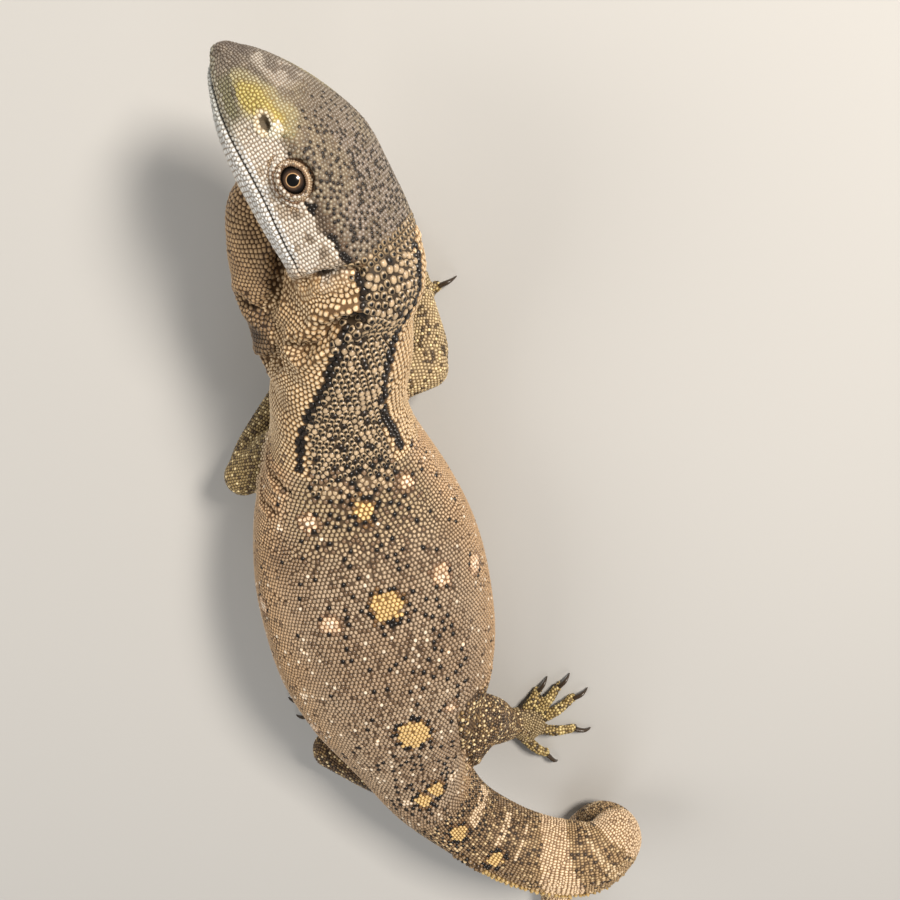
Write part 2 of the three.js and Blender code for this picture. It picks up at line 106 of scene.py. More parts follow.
def powered(value: np.ndarray, power: np.ndarray | float) -> np.ndarray:
    """Raises the size of a number to a power and keeps its sign.

    Args:
        value: Numbers of either sign.
        power: The exponent.

    Returns:
        sign(value) · |value| ^ power.
    """
    return np.sign(value) * np.abs(value) ** power


def unit(vectors: np.ndarray) -> np.ndarray:
    """Scales vectors to length 1 along their last axis.

    Args:
        vectors: Any array whose last axis holds x, y and z.

    Returns:
        The same array with each vector one long.
    """
    return vectors / np.maximum(np.linalg.norm(vectors, axis=-1, keepdims=True), 1e-9)


def through_rows(table: np.ndarray, place: np.ndarray) -> np.ndarray:
    """Runs a uniform Catmull-Rom curve through the rows of a table, with ends carried on straight.

    Args:
        table: One row for each whole place.
        place: Places between 0 and the last row.

    Returns:
        An array of the shape of place with the table's columns as its last axis.
    """
    padded = np.vstack([2 * table[0] - table[1], table, 2 * table[-1] - table[-2]])
    row = np.clip(np.floor(place).astype(int), 0, len(table) - 2)
    t = (place - row)[..., None]
    before, start, end, after = (padded[row + k] for k in range(4))
    linear_part = (end - before) * t
    square_part = (2 * before - 5 * start + 4 * end - after) * t**2
    cubic_part = (3 * start - before - 3 * end + after) * t**3
    return 0.5 * (2 * start + linear_part + square_part + cubic_part)


def run_along(points: np.ndarray) -> np.ndarray:
    """Gives the length of a line of points before each of them."""
    return np.concatenate([[0], np.cumsum(np.linalg.norm(np.diff(points, axis=0), axis=-1))])


def within_turn(angle: np.ndarray) -> np.ndarray:
    """Brings angles between minus half a turn and half a turn."""
    return (angle + math.pi) % FULL_TURN - math.pi


def sheet_of(rows: np.ndarray, sides: np.ndarray) -> tuple[np.ndarray, np.ndarray]:
    """Spreads two lists of parameters over a grid with a row for each of the first."""
    return tuple(np.meshgrid(rows, sides, indexing="ij"))


# The body's centre line from ahead of the neck's cut to the tail's tip: the centre, the half width, the
# height above and the depth below it, and the way the middle of the back faces.
BODY_ROWS = (
    (-16.3, 132.2, 52.5, 16.8, 14.8, 15.4, 0.777, 0.484, 0.402),
    (2.0, 120.4, 57.0, 16.8, 14.8, 15.4, 0.777, 0.484, 0.402),
    (-0.8, 106.5, 53.5, 16.6, 14.0, 22.0, 0.74, 0.12, 0.66),
    (-3.0, 93.0, 48.5, 17.8, 15.0, 25.0, 0.62, -0.2, 0.76),
    (-6.8, 76.7, 41.0, 18.8, 16.5, 25.0, 0.38, -0.2, 0.9),
    (-7.0, 59.7, 34.5, 22.5, 19.5, 27.0, 0.2, -0.1, 0.97),
    (-5.0, 37.0, 29.0, 31.5, 24.0, 29.4, 0.13, 0.0, 0.99),
    (-2.0, 18.0, 28.0, 36.0, 26.5, 30.2, 0.12, 0.0, 0.99),
    (1.0, -1.0, 28.0, 37.0, 27.0, 30.4, 0.14, 0.0, 0.99),
    (4.0, -20.5, 28.0, 35.5, 26.0, 30.2, 0.14, 0.0, 0.99),
    (7.0, -40.0, 27.5, 30.0, 23.0, 28.2, 0.12, 0.0, 0.99),
    (10.5, -58.0, 26.5, 22.0, 19.0, 21.5, 0.05, 0.0, 1.0),
    (16.8, -76.5, 26.0, 16.0, 16.0, 16.5, -0.08, -0.05, 0.99),
    (28.0, -90.3, 26.3, 12.6, 14.0, 14.0, -0.26, -0.27, 0.93),
    (40.5, -99.0, 27.3, 11.0, 13.0, 13.0, -0.35, -0.5, 0.79),
    (53.0, -105.0, 28.6, 10.0, 12.6, 13.0, -0.3, -0.68, 0.67),
    (65.5, -107.8, 30.0, 9.2, 12.2, 13.4, -0.2, -0.8, 0.56),
    (78.0, -107.2, 28.6, 8.4, 11.6, 12.0, 0.1, -0.9, 0.44),
    (86.0, -105.0, 20.0, 7.7, 10.4, 10.0, 0.6, -0.8, 0.2),
    (81.6, -108.6, 11.0, 7.1, 9.0, 8.8, 0.8, -0.6, 0.0),
    (74.5, -119.5, 7.6, 6.6, 7.9, 8.0, 0.85, -0.45, 0.2),
    (69.0, -134.0, 6.8, 6.2, 7.2, 7.4, 0.85, -0.1, 0.5),
    (66.0, -150.0, 6.2, 5.6, 6.5, 6.8, 0.6, 0.0, 0.8),
    (69.0, -168.0, 5.5, 4.9, 5.8, 6.0, 0.3, 0.0, 0.95),
    (76.0, -186.0, 4.6, 4.1, 4.9, 5.1, 0.1, 0.0, 0.99),
    (83.0, -204.0, 3.6, 3.2, 3.9, 4.1, 0.0, 0.0, 1.0),
    (86.0, -223.0, 2.6, 2.3, 2.8, 3.0, 0.0, 0.0, 1.0),
    (84.0, -242.0, 1.7, 1.5, 1.8, 2.1, 0.0, 0.0, 1.0),
    (79.0, -260.0, 0.9, 0.7, 0.9, 1.3, 0.0, 0.0, 1.0),
)


@dataclass(frozen=True)
class Body:
    """Neck, trunk and tail: one closed form carried along a curved centre line."""

    rows: np.ndarray = field(default_factory=lambda: np.array(BODY_ROWS))
    neck_cut: float = 1.0
    tail_start: float = TAIL_FROM
    keel: float = 0.1
    section_power: float = 0.92
    least: float = 0.9
    rolls_from: float = 1.25
    rolls_to: float = 4.5
    roll_count: int = 5
    roll_depth: float = 1.5
    roll_middle: float = 112.0
    roll_spread: float = 62.0

    @property
    def last(self) -> float:
        """The place of the tail's tip."""
        return len(self.rows) - 1.0

    def axes(self, place: np.ndarray) -> tuple[np.ndarray, np.ndarray, np.ndarray, np.ndarray]:
        """Finds the body's own directions.

        Args:
            place: Places along the rows.

        Returns:
            The centre, the direction to the tail, the animal's left, and the way the back faces.
        """
        ahead = through_rows(self.rows, np.minimum(place + 0.01, self.last))[..., :3]
        behind = through_rows(self.rows, np.maximum(place - 0.01, 0))[..., :3]
        row = through_rows(self.rows, place)
        along = unit(ahead - behind)
        back = row[..., 6:9]
        up = unit(back - along * (back * along).sum(-1, keepdims=True))
        return row[..., :3], along, np.cross(along, up), up

    def rolls(self, place: np.ndarray, angle: np.ndarray) -> np.ndarray:
        """Gives the height of the neck's rolls of skin: round backs with sharp creases between them.

        Args:
            place: Places along the rows.
            angle: Turns in radians from the middle of the back towards the left.

        Returns:
            Millimetres out from the plain section, deepest on the left below.
        """
        share = np.clip((place - self.rolls_from) / (self.rolls_to - self.rolls_from), 0, 1)
        wave = np.abs(np.sin(math.pi * self.roll_count * share)) ** 0.6
        fade = np.sin(math.pi * share) ** 0.5
        beside = bell(angle, math.radians(self.roll_middle), math.radians(self.roll_spread))
        return self.roll_depth * (wave - 0.55) * fade * beside

    def point(self, place: np.ndarray, angle: np.ndarray, grow: float = 0.0) -> np.ndarray:
        """Gives points of the body's surface.

        The section is a rounded square law: across = (width + grow) · sin(angle)^p to the left and
        (height or depth + grow) · cos(angle)^p along the back's direction, with a keel along the tail, and
        nothing lower than the floor.

        Args:
            place: Places along the rows.
            angle: Turns in radians from the middle of the back towards the left.
            grow: How far the surface stands outside the solids.

        Returns:
            Points in millimetres, in the solids' frame.
        """
        centre, _, left, up = self.axes(place)
        more = grow + self.rolls(place, angle)
        size = np.maximum(through_rows(self.rows, place)[..., 3:6] + more[..., None], self.least)
        is_tail = smoothstep(place, self.tail_start - 1, self.tail_start + 2)
        power = self.section_power + (1 - self.section_power) * is_tail
        keel = 1 + self.keel * is_tail * bell(angle, 0, 0.3)
        height = np.where(np.cos(angle) > 0, size[..., 1] * keel, size[..., 2])
        across = size[..., 0] * powered(np.sin(angle), power)
        risen = height * powered(np.cos(angle), power)
        point = centre + left * across[..., None] + up * risen[..., None]
        point[..., 2] = np.maximum(point[..., 2], -grow)
        return point - MIDDLE

    def surface(self, place: np.ndarray, angle: np.ndarray) -> np.ndarray:
        """Runs over the body's whole surface."""
        return self.point(place, angle)

    def distance(self, places: np.ndarray) -> np.ndarray:
        """Measures the centre line from its start.

        Args:
            places: Rising places along the rows.

        Returns:
            The millimetres of centre line before each place.
        """
        fine = np.linspace(0, self.last, 2000)
        return np.interp(places, fine, run_along(through_rows(self.rows, fine)[:, :3]))


HEAD_ROWS = (
    (0.0, 16.6, 14.8, 15.3),
    (6.5, 18.3, 15.6, 14.7),
    (14.1, 18.9, 16.1, 13.8),
    (20.7, 18.2, 16.7, 13.7),
    (27.2, 17.1, 17.0, 13.6),
    (33.8, 16.4, 16.3, 13.1),
    (40.4, 15.3, 14.3, 12.2),
    (46.9, 13.2, 11.4, 11.0),
    (52.6, 10.1, 8.3, 9.5),
    (57.2, 6.8, 5.1, 7.5),
    (60.6, 3.2, 1.5, 4.8),
)


@dataclass(frozen=True)
class Head:
    """Skull and jaws in the head's own frame: x to the right, y towards the snout, z up."""

    body: Body
    rows: np.ndarray = field(default_factory=lambda: np.array(HEAD_ROWS))
    length: float = 60.6
    nose_round: float = 1.8
    mouth_corner: float = 8.2
    mouth_heights: tuple[float, float, float] = (-4.9, -0.9, -4.8)
    nostril: tuple[float, float] = (41.2, 6.9)
    ear: tuple[float, float] = (4.6, -1.2)
    cheek_from: float = 8.0

    @property
    def basis(self) -> tuple[np.ndarray, np.ndarray]:
        """The head's origin and its three directions as rows."""
        centre, along, left, up = self.body.axes(np.array(self.body.neck_cut))
        return centre - MIDDLE, np.array([-left, -along, up])

    def to_world(self, points: np.ndarray) -> np.ndarray:
        """Places points of the head in the solids' frame."""
        origin, rows = self.basis
        return origin + points @ rows

    def to_head(self, points: np.ndarray) -> np.ndarray:
        """Reads points of the solids' frame in the head's own."""
        origin, rows = self.basis
        return (points - origin) @ rows.T

    def mouth_height(self, y: np.ndarray) -> np.ndarray:
        """Gives the height of the mouth's line, a parabola from the corner to the snout.

        Args:
            y: Distances from the neck's cut.

        Returns:
            Heights over the head's axis.
        """
        share = (y - self.mouth_corner) / (self.length - self.mouth_corner)
        corner, middle, tip = self.mouth_heights
        return corner * (1 - share) ** 2 + 2 * middle * share * (1 - share) + tip * share**2

    def round_hole(
        self, local: np.ndarray, middle: tuple[float, float], half: tuple[float, float], bend: float = 0.0
    ) -> np.ndarray:
        """Measures from the middle of a nostril or an ear, so that an ellipse round it is at 1.

        Args:
            local: Points in the head's own frame.
            middle: The hole's middle, forwards and up.
            half: Half the ellipse's length and height.
            bend: How far the ellipse bends forwards for each square of the height.

        Returns:
            A distance for each point, and 99 near the head's middle plane.
        """
        high = local[:, 2] - middle[1]
        ring = np.hypot((local[:, 1] - middle[0] + bend * high**2) / half[0], high / half[1])
        return np.where(np.abs(local[:, 0]) > self.cheek_from, ring, 99.0)

    def point(self, place: np.ndarray, angle: np.ndarray, grow: float = 0.0) -> np.ndarray:
        """Gives points of the head's surface.

        The section is a rounded square law whose power falls along the head, with a ridge over the
        eye and a hollow in front of it. A quarter ellipse closes the snout past the last row, and places
        below 0 run back into the neck.

        Args:
            place: Places along the head's rows.
            angle: Turns in radians from the middle of the crown towards the left.
            grow: How far the surface stands outside the solids.

        Returns:
            Points in the head's own frame.
        """
        last = len(self.rows) - 1
        turned = np.clip(place - last, 0, 1) * math.pi / 2
        row = through_rows(self.rows, np.clip(place, 0, last))
        y, wide, up, down = (row[..., k] for k in range(4))
        share = np.clip(place, 0, last) / last
        power = 0.92 - 0.22 * np.sin(math.pi * np.minimum(1, 0.12 + share)) ** 0.7
        flat = powered(np.sin(angle), power)
        tall = powered(np.cos(angle), power)
        side = np.abs(angle)
        ridge = 1.3 * bell(side, math.radians(50), 0.2) * bell(y, 28, 9)
        hollow = -0.9 * bell(side, math.radians(74), 0.28) * bell(y, 35.5, 6)
        more = ridge + hollow + grow
        shut = np.cos(turned)
        nose = (up - down) / 2
        z = nose + ((np.where(np.cos(angle) > 0, up, down) + more) * tall - nose) * shut
        y = y + grow * share + self.nose_round * np.sin(turned) + np.minimum(place, 0)
        return np.stack([-(wide + more) * flat * shut, y, z], -1)

    def surface(self, place: np.ndarray, angle: np.ndarray) -> np.ndarray:
        """Runs over the whole head in the solids' frame: places past the last row close the snout."""
        return self.to_world(self.point(place, angle))


@dataclass(frozen=True)
class Tube:
    """A rounded tube through stations, each with its own half width and half height."""

    stations: np.ndarray

    def point(self, share: np.ndarray, angle: np.ndarray, grow: float = 0.0, push: float = 0.0) -> np.ndarray:
        """Gives points of the tube: centre + width · cos(angle) across + height · sin(angle) up.

        Args:
            share: Places from 0 at the root to 1 at the end.
            angle: Turns in radians from across the tube.
            grow: How far the surface stands outside the solids.
            push: A turn over the tube's end, -1 at the root to 1 at the end, in quarter circles.

        Returns:
            Points in millimetres, in the solids' frame.
        """
        last = len(self.stations) - 1
        row = through_rows(self.stations, share * last)
        ahead = through_rows(self.stations, np.minimum(share + 0.001, 1) * last)[..., :3]
        behind = through_rows(self.stations, np.maximum(share - 0.001, 0) * last)[..., :3]
        along = unit(ahead - behind)
        across = unit(np.cross(along, [0, 0, 1]))
        up = np.cross(across, along)
        shrink = np.cos(push * math.pi / 2)
        out = np.sin(push * math.pi / 2) * (np.minimum(row[..., 3], row[..., 4]) + grow)
        wide = (row[..., 3] + grow) * shrink * np.cos(angle)
        high = (row[..., 4] + grow) * shrink * np.sin(angle)
        point = row[..., :3] + along * out[..., None] + across * wide[..., None] + up * high[..., None]
        return point - MIDDLE

    def surface(self, place: np.ndarray, angle: np.ndarray) -> np.ndarray:
        """Runs over the whole tube: places below 0 and above 1 turn over its rounded ends."""
        share = np.clip(place, 0, 1)
        return self.point(share, angle, 0.0, place - share)


def blade(points: list[tuple[float, float, float]], sizes: list[tuple[float, float]]) -> Tube:
    """Makes a tube from its points and its half widths and half heights."""
    return Tube(np.array([[*point, *size] for point, size in zip(points, sizes)]))


THROAT = blade(
    [
        (-19.5, 142.0, 51.5),
        (-25.0, 132.6, 47.0),
        (-24.1, 123.1, 45.0),
        (-22.8, 114.4, 43.0),
        (-20.6, 104.6, 42.0),
        (-18.2, 95.6, 41.0),
        (-16.3, 88.6, 39.5),
        (-13.8, 79.9, 37.5),
    ],
    [(4.5, 4.5), (8.5, 7.5), (11.0, 10.0), (12.0, 11.0), (11.8, 11.0), (12.4, 11.5), (11.5, 11.0), (9.0, 8.5)],
)


@dataclass(frozen=True)
class Digit:
    """A toe on the floor and its claw, from its root, its heading from +Y towards -X and its length."""

    x: float
    y: float
    turn: float
    length: float
    claw_length: float = 4.6
    claw_root: float = 1.1

    def spot(self, share: float, height: float, out: float = 0.0) -> tuple[float, float, float]:
        """Gives a point over the digit's line, some way out past its share."""
        turn = math.radians(self.turn)
        reach = self.length * share + out
        return (self.x - math.sin(turn) * reach, self.y + math.cos(turn) * reach, height)

    def toe(self) -> Tube:
        """The toe, raised at its knuckle and low at its end."""
        points = [self.spot(-0.3, 3.4), self.spot(0.35, 4.1), self.spot(0.7, 3.2), self.spot(1, 1.6)]
        return blade(points, [(2.3, 2.3), (2.1, 2.1), (1.89, 1.89), (1.8, 1.8)])

    def claw(self) -> Tube:
        """The claw, which arches over and comes down to its point just above the floor."""
        length, root = self.claw_length, self.claw_root
        points = [
            self.spot(1, 2.4, 0.6),
            self.spot(1, 2.7, 1.8 + length * 0.35),
            self.spot(1, 1.8, 1.8 + length * 0.75),
            self.spot(1, 0.5, 1.8 + length),
        ]
        sizes = [root, root * 0.85, root * 0.5, 0.22]
        return blade(points, [(0.75 * size, size) for size in sizes])


@dataclass(frozen=True)
class Limb:
    """A leg with its sole and five digits."""

    name: str
    nodes: tuple[str, str, str]
    joints: tuple[tuple[float, float, float], ...]
    radii: tuple[float, float, float, float]
    sole: tuple[float, float, float]
    sole_half: tuple[float, float]
    digits: tuple[Digit, ...]

    def upper(self) -> Tube:
        """The thigh or upper arm, from the joint in the body to the bend."""
        root, bend = (np.array(self.joints[k]) for k in (0, 1))
        first, second = self.radii[:2]
        middle = (first + second) / 2 + 0.4
        return blade([root, (root + bend) / 2, bend], [(first,) * 2, (middle,) * 2, (second,) * 2])

    def lower(self) -> Tube:
        """The shank or forearm, from the bend to the end joint."""
        bend, end = (np.array(self.joints[k]) for k in (1, 2))
        _, second, calf, last = self.radii
        sizes = [(second * 0.95,) * 2, (calf,) * 2, (last,) * 2]
        return blade([bend, bend + (end - bend) * 0.35, end], sizes)

    def palm(self) -> Tube:
        """The sole, flat and wide."""
        end = np.array(self.joints[2])
        sole = np.array(self.sole)
        last = self.radii[3]
        out = sole - end
        out[2] = 0
        wide, high = self.sole_half
        points = [(end[0], end[1], last + 0.8), tuple(sole), tuple(sole + unit(out) * 3.5)]
        return blade(points, [(last, last * 0.9), (wide, high), (wide * 0.9, high * 0.85)])

    def tubes(self) -> list[Tube]:
        """All the limb's fleshy parts, from the body outwards."""
        return [self.upper(), self.lower(), self.palm(), *(digit.toe() for digit in self.digits)]


LIMBS = (
    Limb(
        "fore_right",
        ("upper_arm", "forearm", "hand"),
        ((-1, 73.5, 25), (17.5, 77, 20), (15.5, 94, 7.5)),
        (7.6, 6.5, 6.8, 4.2),
        (12.5, 99, 3.5),
        (5.8, 3.8),
        (
            Digit(9, 97, 92, 9),
            Digit(8, 101, 62, 11.5),
            Digit(10, 103, 38, 13),
            Digit(13, 103.5, 16, 9),
            Digit(14.5, 94, -64, 6.6),
        ),
    ),
    Limb(
        "fore_left",
        ("upper_arm", "forearm", "hand"),
        ((-16, 60, 27), (-40.5, 40.5, 19.5), (-27, 66, 7)),
        (9, 6.4, 6.6, 4.2),
        (-22.5, 72, 3.5),
        (5.8, 3.8),
        (
            Digit(-18, 72, -86, 9),
            Digit(-17.5, 76, -52, 12),
            Digit(-19.5, 78, -26, 13.5),
            Digit(-22.5, 78, -4, 13),
            Digit(-25, 74.5, 22, 10),
        ),
    ),
    Limb(
        "hind_right",
        ("thigh", "shank", "foot"),
        ((15, -74, 25), (35.5, -49, 25.5), (45, -66, 8.5)),
        (11.5, 8.6, 8.4, 5.2),
        (52, -68.5, 3.6),
        (7.2, 3.9),
        (
            Digit(51.5, -62.5, -32, 8.5),
            Digit(56.5, -62, -39, 11),
            Digit(58.5, -65.5, -56, 12.6),
            Digit(58, -71, -96, 12),
            Digit(53, -76.5, -135, 10.2),
        ),
    ),
    Limb(
        "hind_left",
        ("thigh", "shank", "foot"),
        ((6, -76, 22), (-18, -68.5, 18), (-3, -58, 7)),
        (10, 6.8, 6.8, 4.6),
        (-9, -60, 3.6),
        (6.6, 3.8),
        (
            Digit(-11, -54.5, 60, 12),
            Digit(-13, -56.5, 74, 14),
            Digit(-14, -60, 88, 14.5),
            Digit(-13, -63, 102, 13.5),
            Digit(-9, -65.5, 118, 12),
        ),
    ),
)


class Region(IntEnum):
    """Which of the hide's patterns a point follows."""

    BODY = 0
    HEAD = 1
    LIMB = 2


class BodyPart(IntEnum):
    """The kinds of scales on neck, trunk and tail."""

    HIDE = 0
    THROAT = 1
    KEEL = 2


class HeadPart(IntEnum):
    """The kinds of scales on the head."""

    SKULL = 0
    JAW = 1
    LIDS = 2
    LIPS = 3
    NAPE = 4


@dataclass
class Seeds:
    """The roots of scales: one row for each scale. Apart marks scales of which no two touch."""

    at: np.ndarray
    along: np.ndarray
    place: np.ndarray
    angle: np.ndarray
    half_long: np.ndarray
    half_wide: np.ndarray
    height: np.ndarray
    region: np.ndarray
    part: np.ndarray
    apart: np.ndarray | bool = False

    def __post_init__(self) -> None:
        """Gives every column a value for each scale."""
        for name in ("place", "angle", "half_long", "half_wide", "height", "region", "part", "apart"):
            setattr(self, name, np.broadcast_to(getattr(self, name), len(self.at)).copy())

    @property
    def size(self) -> np.ndarray:
        """Half of each scale's mean width."""
        return (self.half_long + self.half_wide) / 2

    def kept(self, keep: np.ndarray) -> "Seeds":
        """Keeps the rows that a mask or a list of rows names."""
        return Seeds(**{name: value[keep] for name, value in vars(self).items()})

    @staticmethod
    def joined(lists: list["Seeds"]) -> "Seeds":
        """Puts several sets of seeds after each other."""
        names = vars(lists[0])
        return Seeds(**{name: np.concatenate([vars(seeds)[name] for seeds in lists]) for name in names})


@dataclass(frozen=True)
class Lattice:
    """Rows of scales round a surface, each row half a scale on from the last.

    pitch_long is the distance between rows and pitch_wide the distance in a row, in millimetres, and
    grown says how many times wider they are at the last row than at the first. Only the part of the
    surface between the two angles, counted from the middle of the back, is covered.
    """

    region: Region
    part: int
    low: float
    high: float
    pitch_long: float
    pitch_wide: float
    height: float
    from_angle: float = 0.0
    to_angle: float = 180.0
    staggered: bool = True
    grown: float = 1.0
    jitter: float = 0.08
    half_turns: int = 120

    def seeds(self, surface: Surface) -> Seeds:
        """Lays the rows on a surface.

        Args:
            surface: A function from places and angles to points.

        Returns:
            The roots of the scales.
        """
        turns = np.linspace(-math.pi, math.pi, 2 * self.half_turns + 1)
        fine = np.linspace(self.low, self.high, 500)
        grid = surface(*sheet_of(fine, np.linspace(-math.pi, math.pi, 8, endpoint=False)))
        steps = np.linalg.norm(np.diff(grid, axis=0), axis=2).mean(1)
        larger = 1 + (self.grown - 1) * np.linspace(0, 1, len(fine))
        run = np.concatenate([[0], np.cumsum(steps / larger[1:])])
        rows = max(1, round(run[-1] / self.pitch_long))
        places = np.interp((np.arange(rows) + 0.5) / rows * run[-1], run, fine)
        rings = []
        for row, (place, size) in enumerate(zip(places, np.interp(places, fine, larger))):
            arc = run_along(surface(np.full(len(turns), place), turns))
            count = max(3, round(arc[-1] / self.pitch_wide / size))
            shift = 0.5 * (row % 2) if self.staggered else 0.0
            spots = ((np.arange(count) + shift) / count * arc[-1] + arc[self.half_turns]) % arc[-1]
            angles = np.interp(spots, arc, turns)
            on_trunk = self.region == Region.BODY and place < TAIL_FROM
            side = np.degrees(np.abs(within_turn(angles - (back_line(place) if on_trunk else 0.0))))
            angles = angles[(side >= self.from_angle) & (side <= self.to_angle)]
            rings.append(np.stack([0 * angles + place, angles, 0 * angles + size]))
        place, angle, size = np.concatenate(rings, axis=1)
        step = (self.high - self.low) * 0.002
        along = unit(surface(np.minimum(place + step, self.high), angle) - surface(place - step, angle))
        shake = np.random.default_rng(len(place)).normal(size=(len(place), 3))
        return Seeds(
            at=surface(place, angle) + shake * (self.jitter * self.pitch_wide),
            along=along,
            place=place,
            angle=angle,
            half_long=size * self.pitch_long * (0.66 if self.staggered else 0.5),
            half_wide=size * self.pitch_wide * 0.53,
            height=size * self.height,
            region=self.region,
            part=self.part,
        )


def noise(points: np.ndarray, size: float, seed: int) -> np.ndarray:
    """Gives smooth random values: lattice values at cube corners, blended with smooth weights.

    Args:
        points: Points in millimetres.
        size: The side of a lattice cube in millimetres.
        seed: Which of the patterns to take.

    Returns:
        Values between 0 and 1.
    """
    scaled = points / size + 1000.0
    cell = np.floor(scaled).astype(np.int64)
    share = scaled - cell
    share = share * share * (3 - 2 * share)
    total = np.zeros(len(points))
    for corner in range(8):
        bits = np.array([corner & 1, (corner >> 1) & 1, (corner >> 2) & 1])
        spot = cell + bits
        mixed = (spot * np.array([73856093, 19349663, 83492791])).sum(1) + seed * 2654435761
        mixed = (mixed ^ (mixed >> 13)) * 1274126177
        value = ((mixed ^ (mixed >> 16)) & 0xFFFF) / 65535.0
        weight = np.where(bits == 1, share, 1 - share).prod(1)
        total += value * weight
    return total


def tube_mesh(points: np.ndarray) -> tuple[np.ndarray, list[list[int]]]:
    """Closes a grid of rings, each joined round, with a fan at both ends.

    Args:
        points: An array of rings by sides by 3.

    Returns:
        The vertices and the faces.
    """
    rings, sides = points.shape[:2]
    index = np.arange(rings * sides).reshape(rings, sides)
    turned = np.roll(index, -1, axis=1)
    quads = np.stack([index[:-1], turned[:-1], turned[1:], index[1:]], -1).reshape(-1, 4)
    ends = [points[0].mean(0), points[-1].mean(0)]
    first, last = rings * sides, rings * sides + 1
    caps = [[first, b, a] for a, b in zip(index[0], turned[0])]
    caps += [[last, a, b] for a, b in zip(index[-1], turned[-1])]
    return np.vstack([points.reshape(-1, 3), ends]), quads.tolist() + caps


def mesh_object(name: str, points: np.ndarray, faces: list) -> bpy.types.Object:
    """Makes an object in metres from points in millimetres, with its faces turned outwards."""
    mesh = bpy.data.meshes.new(name)
    mesh.from_pydata((points * MM).tolist(), [], faces)
    shell = bmesh.new()
    shell.from_mesh(mesh)
    bmesh.ops.recalc_face_normals(shell, faces=shell.faces)
    shell.to_mesh(mesh)
    shell.free()
    mesh.polygons.foreach_set("use_smooth", np.ones(len(mesh.polygons), dtype=bool))
    made = bpy.data.objects.new(name, mesh)
    bpy.context.scene.collection.objects.link(made)
    return made


def joined_object(name: str, meshes: list[tuple[np.ndarray, list]]) -> bpy.types.Object:
    """Makes one object of several closed meshes.

    Args:
        name: The object's name.
        meshes: The vertices and the faces of each.

    Returns:
        The object.
    """
    parts, faces, count = [], [], 0
    for points, part_faces in meshes:
        parts.append(points)
        faces += [[k + count for k in face] for face in part_faces]
        count += len(points)
    return mesh_object(name, np.vstack(parts), faces)


def tree_of(points: np.ndarray) -> KDTree:
    """Builds the tree that finds the nearest of some points.

    Args:
        points: Points in millimetres.

    Returns:
        The tree, with each point's row.
    """
    tree = KDTree(len(points))
    for row, point in enumerate(points):
        tree.insert(tuple(point), row)
    tree.balance()
    return tree


def paint(mesh: bpy.types.Mesh, colours: np.ndarray) -> None:
    """Stores one linear colour for each vertex in the attribute that the hides read."""
    attribute = mesh.color_attributes.new("marking", "FLOAT_COLOR", "POINT")
    rows = np.column_stack([colours, np.ones(len(colours))]).astype(np.float32)
    attribute.data.foreach_set("color", rows.ravel())


@dataclass
class Shape:
    """Vertices, edges and vertex normals of the fused skin as arrays, in millimetres."""

    points: np.ndarray
    edges: np.ndarray
    loops: np.ndarray
    starts: np.ndarray

    @staticmethod
    def of(mesh: bpy.types.Mesh, scale: float = 1.0) -> "Shape":
        """Reads a mesh."""
        points = np.empty(len(mesh.vertices) * 3)
        mesh.vertices.foreach_get("co", points)
        edges = np.empty(len(mesh.edges) * 2, dtype=np.int64)
        mesh.edges.foreach_get("vertices", edges)
        loops = np.empty(len(mesh.loops), dtype=np.int64)
        mesh.loops.foreach_get("vertex_index", loops)
        starts = np.empty(len(mesh.polygons), dtype=np.int64)
        mesh.polygons.foreach_get("loop_start", starts)
        return Shape(points.reshape(-1, 3) * scale, edges.reshape(-1, 2), loops, starts)

    def smoothed(self, rounds: int, weight: np.ndarray | float = 1.0) -> None:
        """Relaxes the points without shrinking them.

        Each round moves a point half way to the mean of its neighbours and then 0.53 of the way back.

        Args:
            rounds: How many times.
            weight: How much each point takes part, from 0 to 1.
        """
        count = len(self.points)
        ends = np.concatenate([self.edges[:, 0], self.edges[:, 1]])
        others = np.concatenate([self.edges[:, 1], self.edges[:, 0]])
        number = np.maximum(np.bincount(ends, minlength=count), 1)
        share = np.broadcast_to(np.asarray(weight, dtype=float), (count,))
        for _ in range(rounds):
            for step in (0.5, -0.53):
                mean = [np.bincount(ends, self.points[others, k], count) / number for k in range(3)]
                self.points = self.points + (step * share)[:, None] * (np.array(mean).T - self.points)

    def normals(self) -> np.ndarray:
        """Gives each vertex the mean of its faces' directions, from fans round each face's first corner."""
        total = np.zeros_like(self.points)
        sizes = np.diff(np.append(self.starts, len(self.loops)))
        for corner in range(1, int(sizes.max()) - 1):
            some = sizes > corner + 1
            rows = [self.loops[self.starts[some] + k] for k in (0, corner, corner + 1)]
            a, b, c = (self.points[row] for row in rows)
            face = np.cross(b - a, c - a)
            for row in rows:
                for axis in range(3):
                    total[:, axis] += np.bincount(row, face[:, axis], len(total))
        return unit(total)


